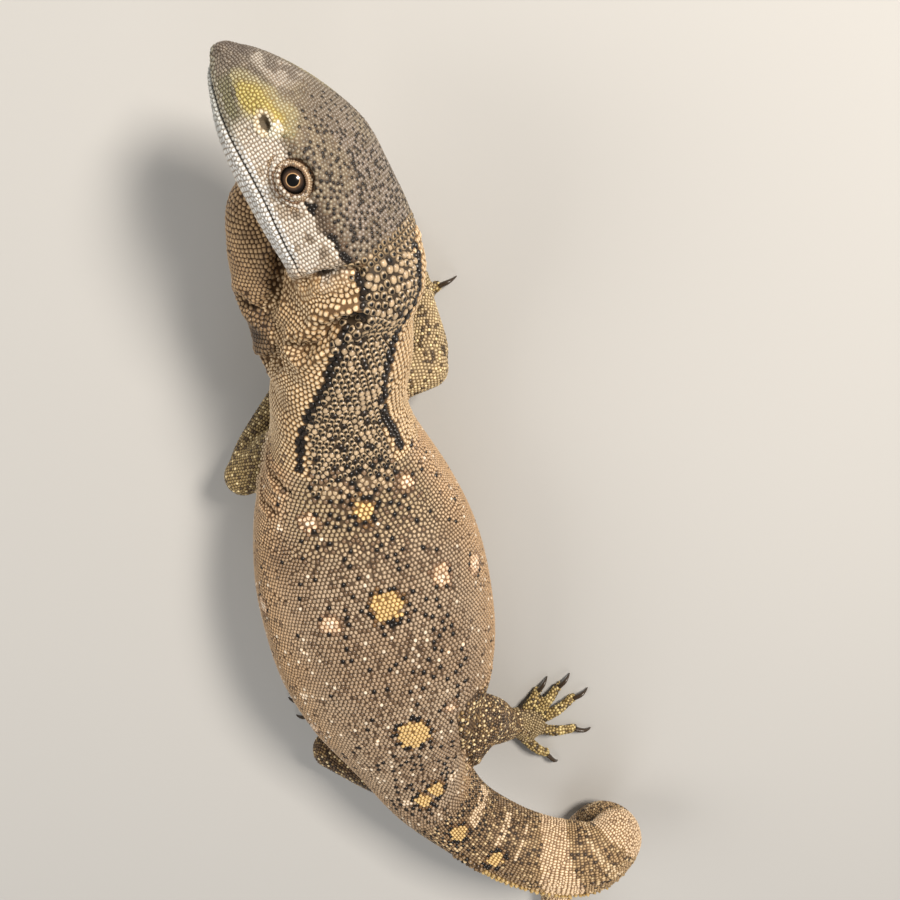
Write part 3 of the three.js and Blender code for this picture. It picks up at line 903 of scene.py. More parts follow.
@dataclass(frozen=True)
class EyeSeat:
    """Where an eye sits in the head, and the shape of its lids. Side is -1 on the left, 1 on the right."""

    head: Head
    side: int
    across: float = 13.4
    forward: float = 26.8
    raised: float = 5.4
    radius: float = 5.0
    lid: float = 5.62
    sunk: float = 4.3
    opening: float = 2.62
    longer: float = 1.18

    @property
    def centre(self) -> np.ndarray:
        """The eyeball's middle in the head's frame."""
        return np.array([self.side * self.across, self.forward, self.raised])

    @property
    def axes(self) -> np.ndarray:
        """Three rows in the head's frame: forwards in the opening, upwards in it, and out."""
        raise_turn, forward_turn = math.radians(32), math.radians(8)
        flat = math.cos(raise_turn) * math.cos(forward_turn)
        out = unit(np.array([self.side * flat, math.sin(forward_turn), math.sin(raise_turn)]))
        ahead = unit(np.array([0, 1, 0]) - out * out[1])
        return np.array([ahead, np.cross(out, ahead) * -self.side, out])

    def split(self, points: np.ndarray) -> tuple[np.ndarray, np.ndarray, np.ndarray]:
        """Reads points of the head's frame from the eye.

        Args:
            points: Points in the head's frame.

        Returns:
            The distance forwards, the distance upwards and the height out from the eyeball's middle.
        """
        local = (points - self.centre) @ self.axes.T
        return local[:, 0], local[:, 1], local[:, 2]

    def round(self, ahead: np.ndarray, above: np.ndarray) -> np.ndarray:
        """Gives the distance from the eye's axis, measured so that the opening is a circle."""
        return np.hypot(ahead / self.longer, above * 1.02)

    def within(self, local: np.ndarray, ring: float) -> np.ndarray:
        """Tells which points of the head's frame lie out from the eye and inside a ring round its axis."""
        ahead, above, out = self.split(local)
        return (self.round(ahead, above) < ring) & (out > 0)

    def on_lid(self, ring: float, turns: np.ndarray) -> np.ndarray:
        """Gives points of the lids at one distance from the axis, in the solids' frame."""
        ahead, above = ring * self.longer * np.cos(turns), ring * np.sin(turns)
        out = np.sqrt(np.maximum(self.lid**2 - ahead**2 - above**2, 1))
        local = np.stack([ahead, above, out], -1)
        return self.head.to_world(self.centre + local @ self.axes)


@dataclass(frozen=True)
class Fold:
    """A crease of the skin with a swell on both sides, along a line of places and degrees."""

    surface: Surface
    line: tuple[tuple[float, float], ...]
    depth: float = 1.2
    width: float = 1.0
    swell: float = 0.45
    beside: float = 2.5

    def height(self, points: np.ndarray) -> np.ndarray:
        """Gives the fold's height: -depth · bell at its line and swell · bell beside it.

        Args:
            points: The skin's points.

        Returns:
            How far each point moves out.
        """
        line = line_on(self.surface, self.line, 60)
        apart = [((points - spot) ** 2).sum(1).argmin() for spot in line]
        far = far_from(points, points[apart])
        share = bell(far, 0, self.width)
        return self.swell * bell(far, self.beside, 0.5 * self.beside) - self.depth * share


@dataclass
class Skin:
    """One closed hide under all the scales, fused from the body's lofts and then sculpted."""

    body: Body
    head: Head
    seats: tuple[EyeSeat, EyeSeat]
    voxel: float = 1.08
    brow: float = 1.22
    chin: float = -8.0
    floor_room: float = 0.25
    made: bpy.types.Object | None = None
    shape: Shape | None = None

    def lofts(self) -> list[tuple[np.ndarray, list]]:
        """Lofts every fleshy part, each inside its solid by the coat's depth."""
        fine = np.linspace(0.7, self.body.last, 1500)
        run = self.body.distance(fine)
        places = np.interp(np.arange(run[0], run[-1], 1.2), run, fine)
        around = np.linspace(-math.pi, math.pi, 96, endpoint=False)
        lofts = [tube_mesh(self.body.point(*sheet_of(places, around), -COAT_DEPTH))]
        rows = np.concatenate([[-3], np.linspace(0, 10, 90), 10 + np.linspace(0.1, 0.98, 8)])
        skull = self.head.point(*sheet_of(rows, around), -COAT_DEPTH)
        lofts.append(tube_mesh(self.head.to_world(skull)))
        tall, turn = sheet_of(np.linspace(0.02, math.pi - 0.02, 40), around)
        ball = np.stack([np.sin(tall) * np.cos(turn), np.cos(tall), np.sin(tall) * np.sin(turn)], -1)
        for seat in self.seats:
            size = seat.lid * np.array([1, self.brow, 1])
            lofts.append(tube_mesh(self.head.to_world(seat.centre + ball * size)))
        ends = np.linspace(-0.98, -0.1, 7)
        rows = np.concatenate([ends, np.linspace(0, 1, 30), 1 - ends[::-1]])
        rows, around = sheet_of(rows, np.linspace(0, FULL_TURN, 36, endpoint=False))
        share = np.clip(rows, 0, 1)
        for tube in [THROAT, *(tube for limb in LIMBS for tube in limb.tubes())]:
            lofts.append(tube_mesh(tube.point(share, around, -COAT_DEPTH, rows - share)))
        return lofts

    def fuse(self) -> None:
        """Joins the lofts in one skin by voxels and smooths away their steps."""
        self.made = joined_object("skin", self.lofts())
        remesh = self.made.modifiers.new("fuse", "REMESH")
        remesh.mode = "VOXEL"
        remesh.voxel_size = self.voxel * MM
        graph = bpy.context.evaluated_depsgraph_get()
        fused = bpy.data.meshes.new_from_object(self.made.evaluated_get(graph))
        self.made.modifiers.clear()
        self.made.data = fused
        self.shape = Shape.of(fused, 1 / MM)
        self.shape.smoothed(8)
        height = sum(fold.height(self.shape.points) for fold in self.folds())
        self.shape.points = self.shape.points + self.shape.normals() * height[:, None]
        self.store()

    def store(self) -> None:
        """Puts the worked points back in the mesh."""
        self.shape.points[:, 2] = np.maximum(self.shape.points[:, 2], self.floor_room)
        self.made.data.vertices.foreach_set("co", (self.shape.points * MM).ravel())
        self.made.data.update()

    def refine(self, near: np.ndarray) -> None:
        """Splits the edges whose ends a mask names."""
        shell = bmesh.new()
        shell.from_mesh(self.made.data)
        shell.verts.ensure_lookup_table()
        edges = [edge for edge in shell.edges if near[edge.verts[0].index] and near[edge.verts[1].index]]
        bmesh.ops.subdivide_edges(shell, edges=edges, cuts=1, use_grid_fill=True)
        shell.to_mesh(self.made.data)
        shell.free()
        self.shape = Shape.of(self.made.data, 1 / MM)

    def in_head(self) -> np.ndarray:
        """Reads the skin's points in the head's frame."""
        return self.head.to_head(self.shape.points)

    def near_head(self, points: np.ndarray) -> np.ndarray:
        """Tells which points of the head's frame belong to the head."""
        span = np.hypot(points[:, 0], points[:, 2])
        return (points[:, 1] > -1) & (points[:, 1] < 70) & (span < 30)

    def sculpt(self) -> None:
        """Works the lids, mouth, nostrils and ears into the refined head."""
        local = self.in_head()
        self.refine(self.near_head(local) & (local[:, 2] > self.chin))
        local = self.in_head()
        self.shape.smoothed(2, self.near_head(local).astype(float))
        self.store()
        close = [np.linalg.norm(local - seat.centre, axis=1) < 8.5 for seat in self.seats]
        self.refine(close[0] | close[1])
        local = self.in_head()
        self.carve(local)
        for seat in self.seats:
            self.fold_lids(seat, local)
        self.shape.points = self.head.to_world(local)
        self.store()

    def folds(self) -> tuple[Fold, ...]:
        """Lists the creases of the throat, the left armpit and the right hip."""
        body = self.body.surface
        return (
            Fold(*CREASES[0], 2.6, 1.6, 0.6, 3.2),
            Fold(*CREASES[1], 2.8, 1.9, 0.9, 3.6),
            Fold(*CREASES[2], 3.3, 1.6, 1.5, 3.4),
            Fold(*CREASES[3], 3.2, 2.2, 1.1, 3.8),
            Fold(body, ((5.0, 96), (5.09, 82), (5.14, 66), (5.2, 50)), 1.4, 1.2, 0.5, 2.4),
            Fold(body, ((5.4, 92), (5.55, 77), (5.55, 60)), 1.1, 1.1, 0.4, 2.2),
            Fold(body, HIP_LINE, 1.3, 1.2, 0.4, 2.6),
        )

    def carve(self, local: np.ndarray) -> None:
        """Cuts the mouth's line, nostrils and ears along the skin's normals.

        The mouth is a groove of bell section along its parabola with a low swell on both sides. A nostril
        and an ear are elliptic bells, the nostril with a raised ring round it.

        Args:
            local: The skin's points in the head's frame, which are moved.
        """
        _, rows = self.head.basis
        outward = self.shape.normals() @ rows.T
        over = local[:, 2] - self.head.mouth_height(local[:, 1])
        reach = smoothstep(local[:, 1], 5.5, 10)
        depth = reach * (0.3 * bell(np.abs(over), 1.5, 1.1) - 0.65 * bell(over, 0, 0.42))
        nostril = self.head.round_hole(local, self.head.nostril, (1.7, 1.25))
        ear = self.head.round_hole(local, self.head.ear, (1.25, 3.1), 0.05)
        depth += 0.4 * bell(nostril, 1.7, 0.5) - 2.1 * bell(nostril, 0, 0.9)
        depth += 0.35 * bell(ear, 1.8, 0.5) - 1.9 * bell(ear, 0, 0.95)
        local += outward * (depth * self.near_head(local))[:, None]

    def fold_lids(self, seat: EyeSeat, local: np.ndarray) -> None:
        """Shapes the lids round one eye.

        Out from the axis the skin first lies on a sphere inside the eyeball, rises at the opening's rim to
        the lids' sphere, and from there runs with fine round folds into the head.

        Args:
            seat: The eye's seat.
            local: The skin's points in the head's frame, which are moved.
        """
        ahead, above, out = seat.split(local)
        flat = np.hypot(ahead, above)
        ring = seat.round(ahead, above)
        near = (out > 0) & (flat < 8)
        inner = np.sqrt(np.maximum(seat.sunk**2 - flat**2, 0.2))
        outer = np.sqrt(np.maximum(seat.lid**2 - flat**2, 0.2))
        upper = smoothstep(above, -0.6, 1.6)
        outer += (0.16 + 0.3 * upper) * bell(ring, 3.5, 0.42) - 0.3 * bell(ring, 4.3, 0.28)
        outer += 0.2 * bell(ring, 4.95, 0.34)
        lid = inner + (outer - inner) * smoothstep(ring, seat.opening, seat.opening + 0.35)
        share = near * (1 - smoothstep(flat, 4.6, 5.6))
        moved = out + (lid - out) * share
        local += (moved - out)[:, None] * seat.axes[2]


class Spot(IntEnum):
    """The kinds of round marks on the back."""

    YELLOW = 0
    PINK = 1
    WHITE = 2


# Round marks: place along the body's rows, degrees from the middle of the back, half length and half
# width in millimetres.
SPOTS = (
    (Spot.YELLOW, 5.44, -4, 3.7, 2.5),
    (Spot.YELLOW, 7.27, -5, 5.2, 5.0),
    (Spot.YELLOW, 9.82, -5, 6.0, 4.8),
    (Spot.YELLOW, 11.48, -21, 3.2, 2.7),
    (Spot.YELLOW, 11.63, -5, 3.0, 2.5),
    (Spot.YELLOW, 12.85, -29, 3.0, 3.2),
    (Spot.YELLOW, 14.06, -39, 2.6, 3.4),
    (Spot.PINK, 5.26, -38, 2.6, 2.4),
    (Spot.PINK, 5.55, 29, 2.8, 3.0),
    (Spot.PINK, 7.02, -35, 3.4, 3.0),
    (Spot.PINK, 7.22, -62, 3.0, 3.0),
    (Spot.PINK, 7.44, 21, 2.9, 2.8),
    (Spot.PINK, 7.3, 70, 2.6, 2.6),
    (Spot.PINK, 9.49, -28, 1.6, 1.6),
    (Spot.PINK, 9.7, 62, 2.4, 2.4),
    (Spot.PINK, 9.9, -66, 2.6, 2.4),
    (Spot.WHITE, 5.72, 51, 1.3, 1.3),
    (Spot.WHITE, 7.96, 40, 1.5, 1.4),
    (Spot.WHITE, 8.41, -38, 1.1, 1.1),
    (Spot.WHITE, 8.42, -30, 1.1, 1.1),
    (Spot.WHITE, 9.81, 14, 1.5, 1.5),
    (Spot.WHITE, 11.6, 12, 1.9, 1.6),
    (Spot.WHITE, 11.42, -41, 2.0, 1.7),
    (Spot.WHITE, 8.9, 52, 1.2, 1.2),
    (Spot.WHITE, 10.6, 34, 1.2, 1.2),
    (Spot.WHITE, 10.4, -48, 1.2, 1.2),
)
# Dark stripes from behind each eye to the shoulder: places and degrees, first on the head.
HEAD_STRIPE = ((3.35, 72), (2.86, 68), (2.14, 65), (1.38, 64), (0.68, 64), (0.0, 65))
LEFT_STRIPE = (
    (0.94, 65),
    (1.33, 61),
    (1.58, 55),
    (1.85, 52),
    (2.37, 55),
    (2.82, 55),
    (3.36, 53),
    (3.83, 50),
    (4.23, 49),
    (4.76, 44),
)
RIGHT_STRIPE = (
    (0.94, -9),
    (1.2, -7),
    (1.7, -6),
    (2.34, -3),
    (2.72, -2),
    (3.08, -4),
    (3.52, -16),
    (4.18, -34),
    (4.65, -43),
)
# Where the dark hide of the right thigh meets the back's: places and degrees.
HIP_LINE = ((9.5, -66), (9.57, -50), (9.66, -39), (9.95, -35), (10.7, -46), (11.6, -78), (12.5, -118))
# How many parts of a limb carry scales: the upper and lower limb, the sole and five toes.
LIMB_PARTS = 8
# The deep creases behind the jaw and over the throat and the neck: surface, then places and degrees.
CREASES = (
    (Head(Body()).surface, ((0.2, 62), (0.4, 75), (0.58, 88), (0.7, 104), (0.7, 122))),
    (THROAT.surface, ((0.3, 112), (0.48, 94), (0.55, 60), (0.5, 30))),
    (Body().surface, ((1.5, 56), (1.75, 66), (1.97, 73), (2.3, 86), (2.51, 95))),
    (THROAT.surface, ((0.7, 90), (0.76, 54), (0.8, 20))),
)
# How far a degree round the back of the head reaches.
MM_PER_DEGREE = 0.3
# The middle of the painted shade in the hollow under the throat.
HOLLOW_SHADE = np.array([-52.5, 140.9, 48.5])
# The true middle of the back: places and degrees. The neck is twisted, because the head is tilted.
BACK_LINE = (
    (0, 29),
    (1.3, 28),
    (2.4, 27),
    (3.1, 24),
    (3.6, 17),
    (4.2, 8),
    (4.7, 1),
    (5.4, -4),
    (9.8, -5),
    (12, -8),
    (28, -5),
)
# Pale bands of the tail: where each starts and ends along the rows.
TAIL_BANDS = (
    (15.04, 16.0),
    (17.24, 18.25),
    (19.5, 20.2),
    (21.1, 21.7),
    (22.5, 23.0),
    (23.7, 24.2),
    (24.9, 25.3),
    (26.0, 26.4),
)


def back_line(place: np.ndarray) -> np.ndarray:
    """Gives the angle of the true middle of the back in radians."""
    places, degrees = zip(*BACK_LINE)
    return np.radians(np.interp(place, places, degrees))


def line_on(surface: Surface, table: tuple, count: int = 120) -> np.ndarray:
    """Lays a line of points on a surface through places and degrees."""
    places, degrees = np.array(table, dtype=float).T
    share = np.linspace(0, len(places) - 1, count)
    rows = np.arange(len(places))
    return surface(np.interp(share, rows, places), np.radians(np.interp(share, rows, degrees)))


def far_from(points: np.ndarray, line: np.ndarray, reach: float = 9.0) -> np.ndarray:
    """Gives each point's distance from the nearest point of a line, or 99 where that is out of reach.

    Args:
        points: Points in millimetres.
        line: The line's points, closer together than the pattern that follows it.
        reach: How far from the line's box points are still measured.

    Returns:
        Distances in millimetres.
    """
    near = ((points > line.min(0) - reach) & (points < line.max(0) + reach)).all(1)
    result = np.full(len(points), 99.0)
    result[near] = np.sqrt(((points[near][:, None] - line[None]) ** 2).sum(2).min(1))
    return result


@dataclass
class Markings:
    """The hide's colours, worked out along the body so that skin and scales agree.

    Each scale has a colour for its dome's side, one for its tip, and how dark its rim is. Where a tip is
    lighter than its side, that is partly the scale's pale crown and partly painted highlight; the dark rims
    are partly pigment between the scales and partly painted shade in the gaps.
    """

    body: Body
    head: Head
    seeds: Seeds
    random_seed: int = 7
    plain: str = "a08a70"
    rims: tuple[float, float, float] = (0.36, 0.62, 0.36)
    chance: np.ndarray = field(init=False)
    side: np.ndarray = field(init=False)
    tip: np.ndarray = field(init=False)
    rim: np.ndarray = field(init=False)

    def __post_init__(self) -> None:
        """Starts with the plain hide and five random values for each scale."""
        count = len(self.seeds.at)
        self.chance = np.random.default_rng(self.random_seed).random((count, 5)).T
        self.side = np.tile(linear(self.plain), (count, 1))
        self.tip = self.side
        self.rim = np.choose(self.seeds.region, self.rims)

    def paint(
        self, mask: np.ndarray, side: str, tip: str | None = None, share: np.ndarray | float = 1.0
    ) -> None:
        """Blends colours over the scales of a mask.

        Args:
            mask: A weight or a yes for each scale.
            side: The new colour of the dome's side.
            tip: The new colour of its tip, or the side's again.
            share: How far the new colour replaces the old.
        """
        weight = (np.asarray(mask, dtype=float) * share)[:, None]
        self.side = self.side + (linear(side) - self.side) * weight
        self.tip = self.tip + (linear(tip or side) - self.tip) * weight

    def colour(self) -> None:
        """Paints every region, and makes each scale a little lighter or darker than the next."""
        region = self.seeds.region
        self.body_colours(region == Region.BODY)
        self.head_colours(region == Region.HEAD)
        self.limb_colours(region == Region.LIMB)
        vary = (0.86 + 0.28 * self.chance[3])[:, None]
        self.side = self.side * vary
        self.tip = self.tip * vary

    def body_colours(self, own: np.ndarray) -> None:
        """Paints the neck, trunk and tail, each pattern over the last, with painted shade in the hollow under
        the throat and along the creases of the throat and the neck.
        """
        seeds = self.seeds
        at, place = seeds.at, seeds.place
        throat = own & (seeds.part == BodyPart.THROAT)
        own = own & ~throat
        side = np.degrees(np.abs(within_turn(seeds.angle - back_line(place))))
        wide, fine = noise(at, 11.0, 1), noise(at, 3.2, 2)
        self.paint(own, "86725c", "c2ab90")
        self.paint(own * smoothstep(wide, 0.4, 0.75), "7d664f", "a98f73", 0.7)
        self.paint(own * smoothstep(side, 34, 70), "9c7b57", "d2b189", 0.85)
        self.paint(own * smoothstep(side, 92, 118), "c2ab8a", "d8c6a8")
        # The throat's darker tone is partly its own colour and partly painted shade.
        self.paint(throat, "967857", "c6a87f")
        self.paint(throat * smoothstep(fine, 0.55, 0.75), "82674b", "a88a66", 0.7)
        # Painted shade: scales round the hollow under the throat are darkened nearly to black.
        hollow = np.linalg.norm(at - HOLLOW_SHADE, axis=1)
        dark = np.exp(-((hollow / 6.5) ** 2)) * (throat | own)
        self.paint(dark, "2b1e15", "3d2c1f", 0.9)
        shoulder = own * bell(place, 5.3, 0.9) * (1 - smoothstep(side, 38, 60))
        self.paint(shoulder, "77654b", "a8936f", 0.75)
        # The throat's darker gaps are partly pigment and partly painted shade.
        self.rim = np.where(throat, 0.2, self.rim)
        neck = own & (place < 4.9)
        self.paint(neck * smoothstep(side, 28, 36), "a98a62", "dec6a2")
        self.paint(neck * smoothstep(side, 40, 60) * smoothstep(wide, 0.45, 0.65), "987a55", "c9ac84", 0.7)
        # A darker patch behind the left shoulder, mottled by the fine noise.
        spot = self.body.point(np.array(6.14), np.radians(46))
        darker_patch = own * bell(np.linalg.norm(at - spot, axis=1), 0, 6.5)
        self.paint(darker_patch * smoothstep(fine, 0.2, 0.5), "5f4732", "7f6348", 0.75)
        self.nape(own * (1 - smoothstep(place, 4.3, 5.6)), side)
        self.back_dots(own, side)
        self.tail(own)
        for kind, spot_place, degrees, half_long, half_wide in SPOTS:
            self.spot(own, kind, (spot_place, degrees, half_long, half_wide))
        places, degrees = np.array(HIP_LINE).T
        turned = np.degrees(within_turn(seeds.angle))
        front = places[0] + 0.03 * np.maximum(degrees[0] - turned, 0) + 0.3 * (fine - 0.5)
        hip = own & (place > front) & (place < places[-1]) & (turned < np.interp(place, places, degrees))
        self.thigh(hip & (turned > -150))
        # Painted shade: scales along the creases of the throat and the neck are darkened where the folds fall
        # in shade.
        for surface, table in CREASES[1:]:
            far = far_from(at, line_on(surface, table))
            self.paint((own | throat) * bell(far, 0, 1.5), "4b3625", "5f4732", 0.8)
        for table in (LEFT_STRIPE, RIGHT_STRIPE):
            far = far_from(at, line_on(self.body.surface, table))
            self.paint(neck & (far < 1.0 + 0.5 * fine), "17110c", "241b14")

    def nape(self, share: np.ndarray, side: np.ndarray) -> None:
        """Paints the nape between the stripes: cream scales, half of them with black tips, in blotches."""
        chance, blot = self.chance, noise(self.seeds.at, 4.2, 3)
        nape = share * (side < 33)
        self.paint(nape > 0.2, "a38d71", "b8a182")
        self.rim = np.where(nape > 0.5, 0.1, self.rim)
        tipped = (chance[0] < 0.6 + 0.32 * smoothstep(blot, 0.35, 0.7)) & (nape > chance[1] * 0.9)
        self.paint(tipped, "b39c7c", "0c0908")
        full = (chance[2] < 0.08 + 0.16 * smoothstep(blot, 0.6, 0.8)) & tipped
        self.paint(full, "3a2e23", "0e0a07")

    def back_dots(self, own: np.ndarray, side: np.ndarray) -> None:
        """Scatters single black scales over the back, more towards the nape and the hips."""
        seeds, chance = self.seeds, self.chance
        place, blot = seeds.place, noise(seeds.at, 6.0, 4)
        trunk = own & (place > 4.6) & (place < 12.6)
        ends = 0.6 * (1 - smoothstep(place, 4.8, 6.8)) + 0.4 * smoothstep(place, 9.8, 11.5)
        middle = 1 - smoothstep(side, 14, 48)
        thick = (0.08 + 0.5 * smoothstep(blot, 0.45, 0.8) + ends) * middle + 0.04
        brown = trunk & (chance[1] < 0.05 + 0.16 * middle)
        self.paint(brown, "64503c", "7e664f")
        pale = trunk & seeds.apart & (chance[2] < 0.06 + 0.12 * (place > 7.5))
        self.paint(pale, "c9b69d", "ede0cd")
        self.paint(trunk & seeds.apart & (chance[0] < thick), "1c1510", "0e0b08")

    def tail(self, own: np.ndarray) -> None:
        """Paints the tail: dark grid at the root, then pale and dark speckled rings, and a golden keel."""
        seeds, chance = self.seeds, self.chance
        side = np.degrees(np.abs(seeds.angle))
        sweep = 0.0052 * (118 - np.minimum(side, 130)) * smoothstep(seeds.place, 13, 15)
        place = seeds.place - sweep + 0.12 * (noise(seeds.at, 3.0, 6) - 0.5)
        tail = own * smoothstep(place, 11.9, 12.8)
        self.paint(tail, "71593f", "9f8562")
        self.paint(tail * smoothstep(place, 14.2, 15.2), "8f7452", "bd9f74")
        speck = noise(seeds.at, 2.4, 7)
        dark = 0.3 + 0.4 * smoothstep(speck, 0.5, 0.75)
        self.paint((tail > 0.5) & (chance[0] < 0.3 * dark), "5b4731", "7d6344")
        self.paint((tail > 0.5) & seeds.apart & (chance[1] < 1.15 * dark), "453524", "372a1d")
        root = 1 - smoothstep(place, 12.9, 13.6)
        self.paint((tail > 0.5) & seeds.apart & (chance[2] < root), "1c150f", "140f0b")
        self.paint((tail > 0.5) & ~seeds.apart & (chance[1] < 0.16), "b39a74", "dcc398")
        for low, high in TAIL_BANDS:
            band = (tail > 0.5) & (place > low) & (place < high)
            self.paint(band, "c9a982", "f2ddbf")
            self.paint(band & (chance[2] < 0.14), "a5876a", "caae8a")
            dotted = (tail > 0.5) & (np.abs(place - low + 0.5) < 0.07) & (chance[3] < 0.7)
            self.paint(dotted & (low > 16), "cbb08a", "ead6b4")
        for low, high in ((12.85, 13.1), (13.8, 14.0), (14.5, 14.6)):
            patch = own & (side > 55) & (side < 120) & (seeds.place > low) & (seeds.place < high)
            self.paint(patch & (chance[2] < 0.85), "cdb08b", "efdcc0")
        self.paint(own & (seeds.part == BodyPart.KEEL) & (seeds.place > 14), "a88850", "dabf86")

    def spot(self, own: np.ndarray, kind: Spot, size: tuple[float, float, float, float]) -> None:
        """Paints one round mark: its field, and round it a ring of black scales or a brown halo.

        Args:
            own: Which scales are the body's.
            kind: What kind of mark.
            size: Its place, degrees, half length and half width.
        """
        seeds, chance = self.seeds, self.chance
        place, degrees, half_long, half_wide = size
        middle = self.body.point(np.array(place), np.radians(degrees))
        _, along, _, _ = self.body.axes(np.array(place))
        offset, apart = seeds.at - middle, seeds.apart
        lengthways = offset @ along
        sideways = np.linalg.norm(offset - lengthways[:, None] * along, axis=1)
        ring = np.hypot(lengthways / half_long, sideways / half_wide)
        ring = ring * (0.88 + 0.24 * chance[2])
        edge = 1.0 / min(half_long, half_wide)
        if kind == Spot.YELLOW:
            around = own & (ring < 1 + 1.6 * edge) & (ring > 1)
            self.paint(around & (chance[0] > 0.5), "64492d", "80613e")
            self.paint(around & (apart | (chance[0] < 0.3)), "1c1510", "0e0b08")
            self.paint(own & (ring < 1), "c29d60", "e8cb90")
        elif kind == Spot.PINK:
            halo = own & (ring < 1 + 1.1 * edge) & (ring > 1)
            self.paint(halo, "6f523b", "8a6a4e", 0.7)
            self.paint(halo & apart & (chance[0] < 0.5), "1d1610")
            self.paint(own & (ring < 1), "c6a27e", "ebd0b2")
            self.paint(own & (ring < 0.5), "d8c0a4", "f6e6d3")
        else:
            self.paint(own & (ring < 1), "cfb595", "f6e9d6")

    def head_colours(self, own: np.ndarray) -> None:
        """Paints the head, each pattern over the last."""
        seeds = self.seeds
        local = self.head.to_head(seeds.at)
        over = local[:, 2] - self.head.mouth_height(local[:, 1])
        fine = noise(seeds.at, 3.0, 12)
        skull = own & (seeds.part != HeadPart.LIDS)
        self.crown(own, local, fine)
        self.snout(skull, local, over, fine)
        self.lips(skull, local, over, fine)
        self.yellow_patch(skull, local, fine)
        self.eye_stripe(skull & (seeds.part != HeadPart.LIPS), fine)
        self.lids(own & (seeds.part == HeadPart.LIDS))
        _, y, z = local.T
        temple = skull & (z > 2) & (z < 10) & (y > 8) & (y < 24)
        self.paint(temple * smoothstep(fine, 0.45, 0.7), "5f5144", "83735f", 0.7)
        nape = own & (seeds.part == HeadPart.NAPE)
        self.paint(nape, "8f7c64", "ad987a")
        self.rim = np.where(nape, 0.15, self.rim)
        self.paint(nape & (self.chance[0] < 0.85), "a89272", "120d09")

    def crown(self, own: np.ndarray, local: np.ndarray, fine: np.ndarray) -> None:
        """Paints the head's ground colour and the crown, with black dots towards the neck."""
        seeds, chance = self.seeds, self.chance
        y, z = local[:, 1], local[:, 2]
        crown = own * smoothstep(z, 7.5, 10.5)
        self.paint(own, "bab1a5", "e6ddd1")
        self.paint(own * smoothstep(y, 36, 50), "8f8874", "aba58f", 0.7)
        self.paint(crown, "7d736a", "9a8f84")
        self.paint(crown * smoothstep(y, 26, 38), "6f6557", "897e6e", 0.7)
        self.paint(crown * smoothstep(noise(seeds.at, 9.0, 11), 0.45, 0.7), "7e735f", "9a8e75", 0.7)
        self.paint(crown * smoothstep(y, 44, 52) * smoothstep(fine, 0.42, 0.6), "b9ae9b", "d3cabb", 0.8)
        rear = (crown > 0.4) * (1 - smoothstep(y, 34, 46)) * (0.55 + 0.45 * (1 - smoothstep(y, 4, 30)))
        self.rim = np.where(crown > 0.4, 0.85, self.rim)
        self.paint((crown > 0.4) & (chance[1] < 0.3) & (y < 46), "6f6456", "7f7465")
        dots = own & (seeds.part == HeadPart.SKULL) & (chance[0] < np.where(seeds.apart, 1.15, 0.1) * rear)
        self.paint(dots, "2e2720", "0f0c09")
        self.rim = np.where(dots, 1.6, self.rim)

    def snout(self, skull: np.ndarray, local: np.ndarray, over: np.ndarray, fine: np.ndarray) -> None:
        """Paints the snout: a pale net on its bridge, darker sides and tip, and olive low on the sides."""
        x, y, z = local.T
        seam = 5.8 - 0.36 * (y - 48.4)
        outer = smoothstep(np.abs(x), seam - 0.8, seam + 0.8)
        front = skull * smoothstep(y, 43.5, 47) * (over > 1.5)
        self.paint(front * (1 - outer), "9c9389", "c0b9ae", 0.85)
        self.paint(front * (1 - outer) * (fine > 0.52), "5f554b", "776c60", 0.8)
        self.paint(front * np.maximum(outer, smoothstep(y, 55, 58)), "564b43", "6f6358", 0.85)
        self.paint(front * outer * (noise(self.seeds.at, 1.6, 13) > 0.62), "82776a", "9b9082", 0.7)
        olive = front * smoothstep(-z, -3.4, -1.2) * (1 - smoothstep(y, 53, 57))
        self.paint(olive, "6c6a4e", "888462", 0.75)

    def lips(self, skull: np.ndarray, local: np.ndarray, over: np.ndarray, fine: np.ndarray) -> None:
        """Paints the cheeks, the white lips, which are olive in front, and the chin."""
        _, y, z = local.T
        cheek = skull & (z < 8) & (over > 0) & (y < 34)
        self.paint(cheek & (fine > 0.55), "93836f", "b5a48d", 0.7)
        lips = skull & (over < 2.4)
        self.paint(lips * smoothstep(y, 4, 12), "c0beba", "f0efed")
        self.paint(lips * smoothstep(y, 36, 47) * (over > 0), "6d6753", "89836c", 0.85)
        self.paint(lips * smoothstep(y, 38, 52) * (over < 0), "949791", "b4b6b0", 0.7)
        self.paint(skull * smoothstep(-over, 5, 9), "bfae93", "dccfb8")
        self.paint(lips * (1 - smoothstep(y, 3, 13)), "a98c66", "dac09a")
        self.paint(skull * (z < 9) * (1 - smoothstep(y, 0.5, 4.5)), "a98c66", "dac09a", 0.85)

    def yellow_patch(self, skull: np.ndarray, local: np.ndarray, fine: np.ndarray) -> None:
        """Paints a slanted yellow patch over each nostril, and the nostril's pale rim."""
        x, y, z = local.T
        ahead, above = y - 45.3, z - 8.5
        patch = np.hypot(ahead / 7.2, (above + 1.5 + 0.47 * ahead) / 2.9) + 0.35 * (fine - 0.5)
        yellow = skull * (np.abs(x) > 3.5) * (z > 2.5) * np.where(x < 0, 1.0, 0.55)
        self.paint(yellow * bell(patch, 1.15, 0.2), "a9a177", "c9c29c", 0.6)
        self.paint(yellow * (1 - smoothstep(patch, 0.7, 1.2)), "a8974e", "cfc278", 0.9)
        nostril = self.head.round_hole(local, self.head.nostril, (3.2, 2.5))
        self.paint(skull * (1 - smoothstep(nostril, 0.8, 1.15)), "c2b69c", "e6dcc6")
        behind = np.hypot((y - 39.0) / 1.8, above / 2.0)
        self.paint(skull & (behind < 1) & (np.abs(x) > 9.5), "c9c6b4", "e9e7da")

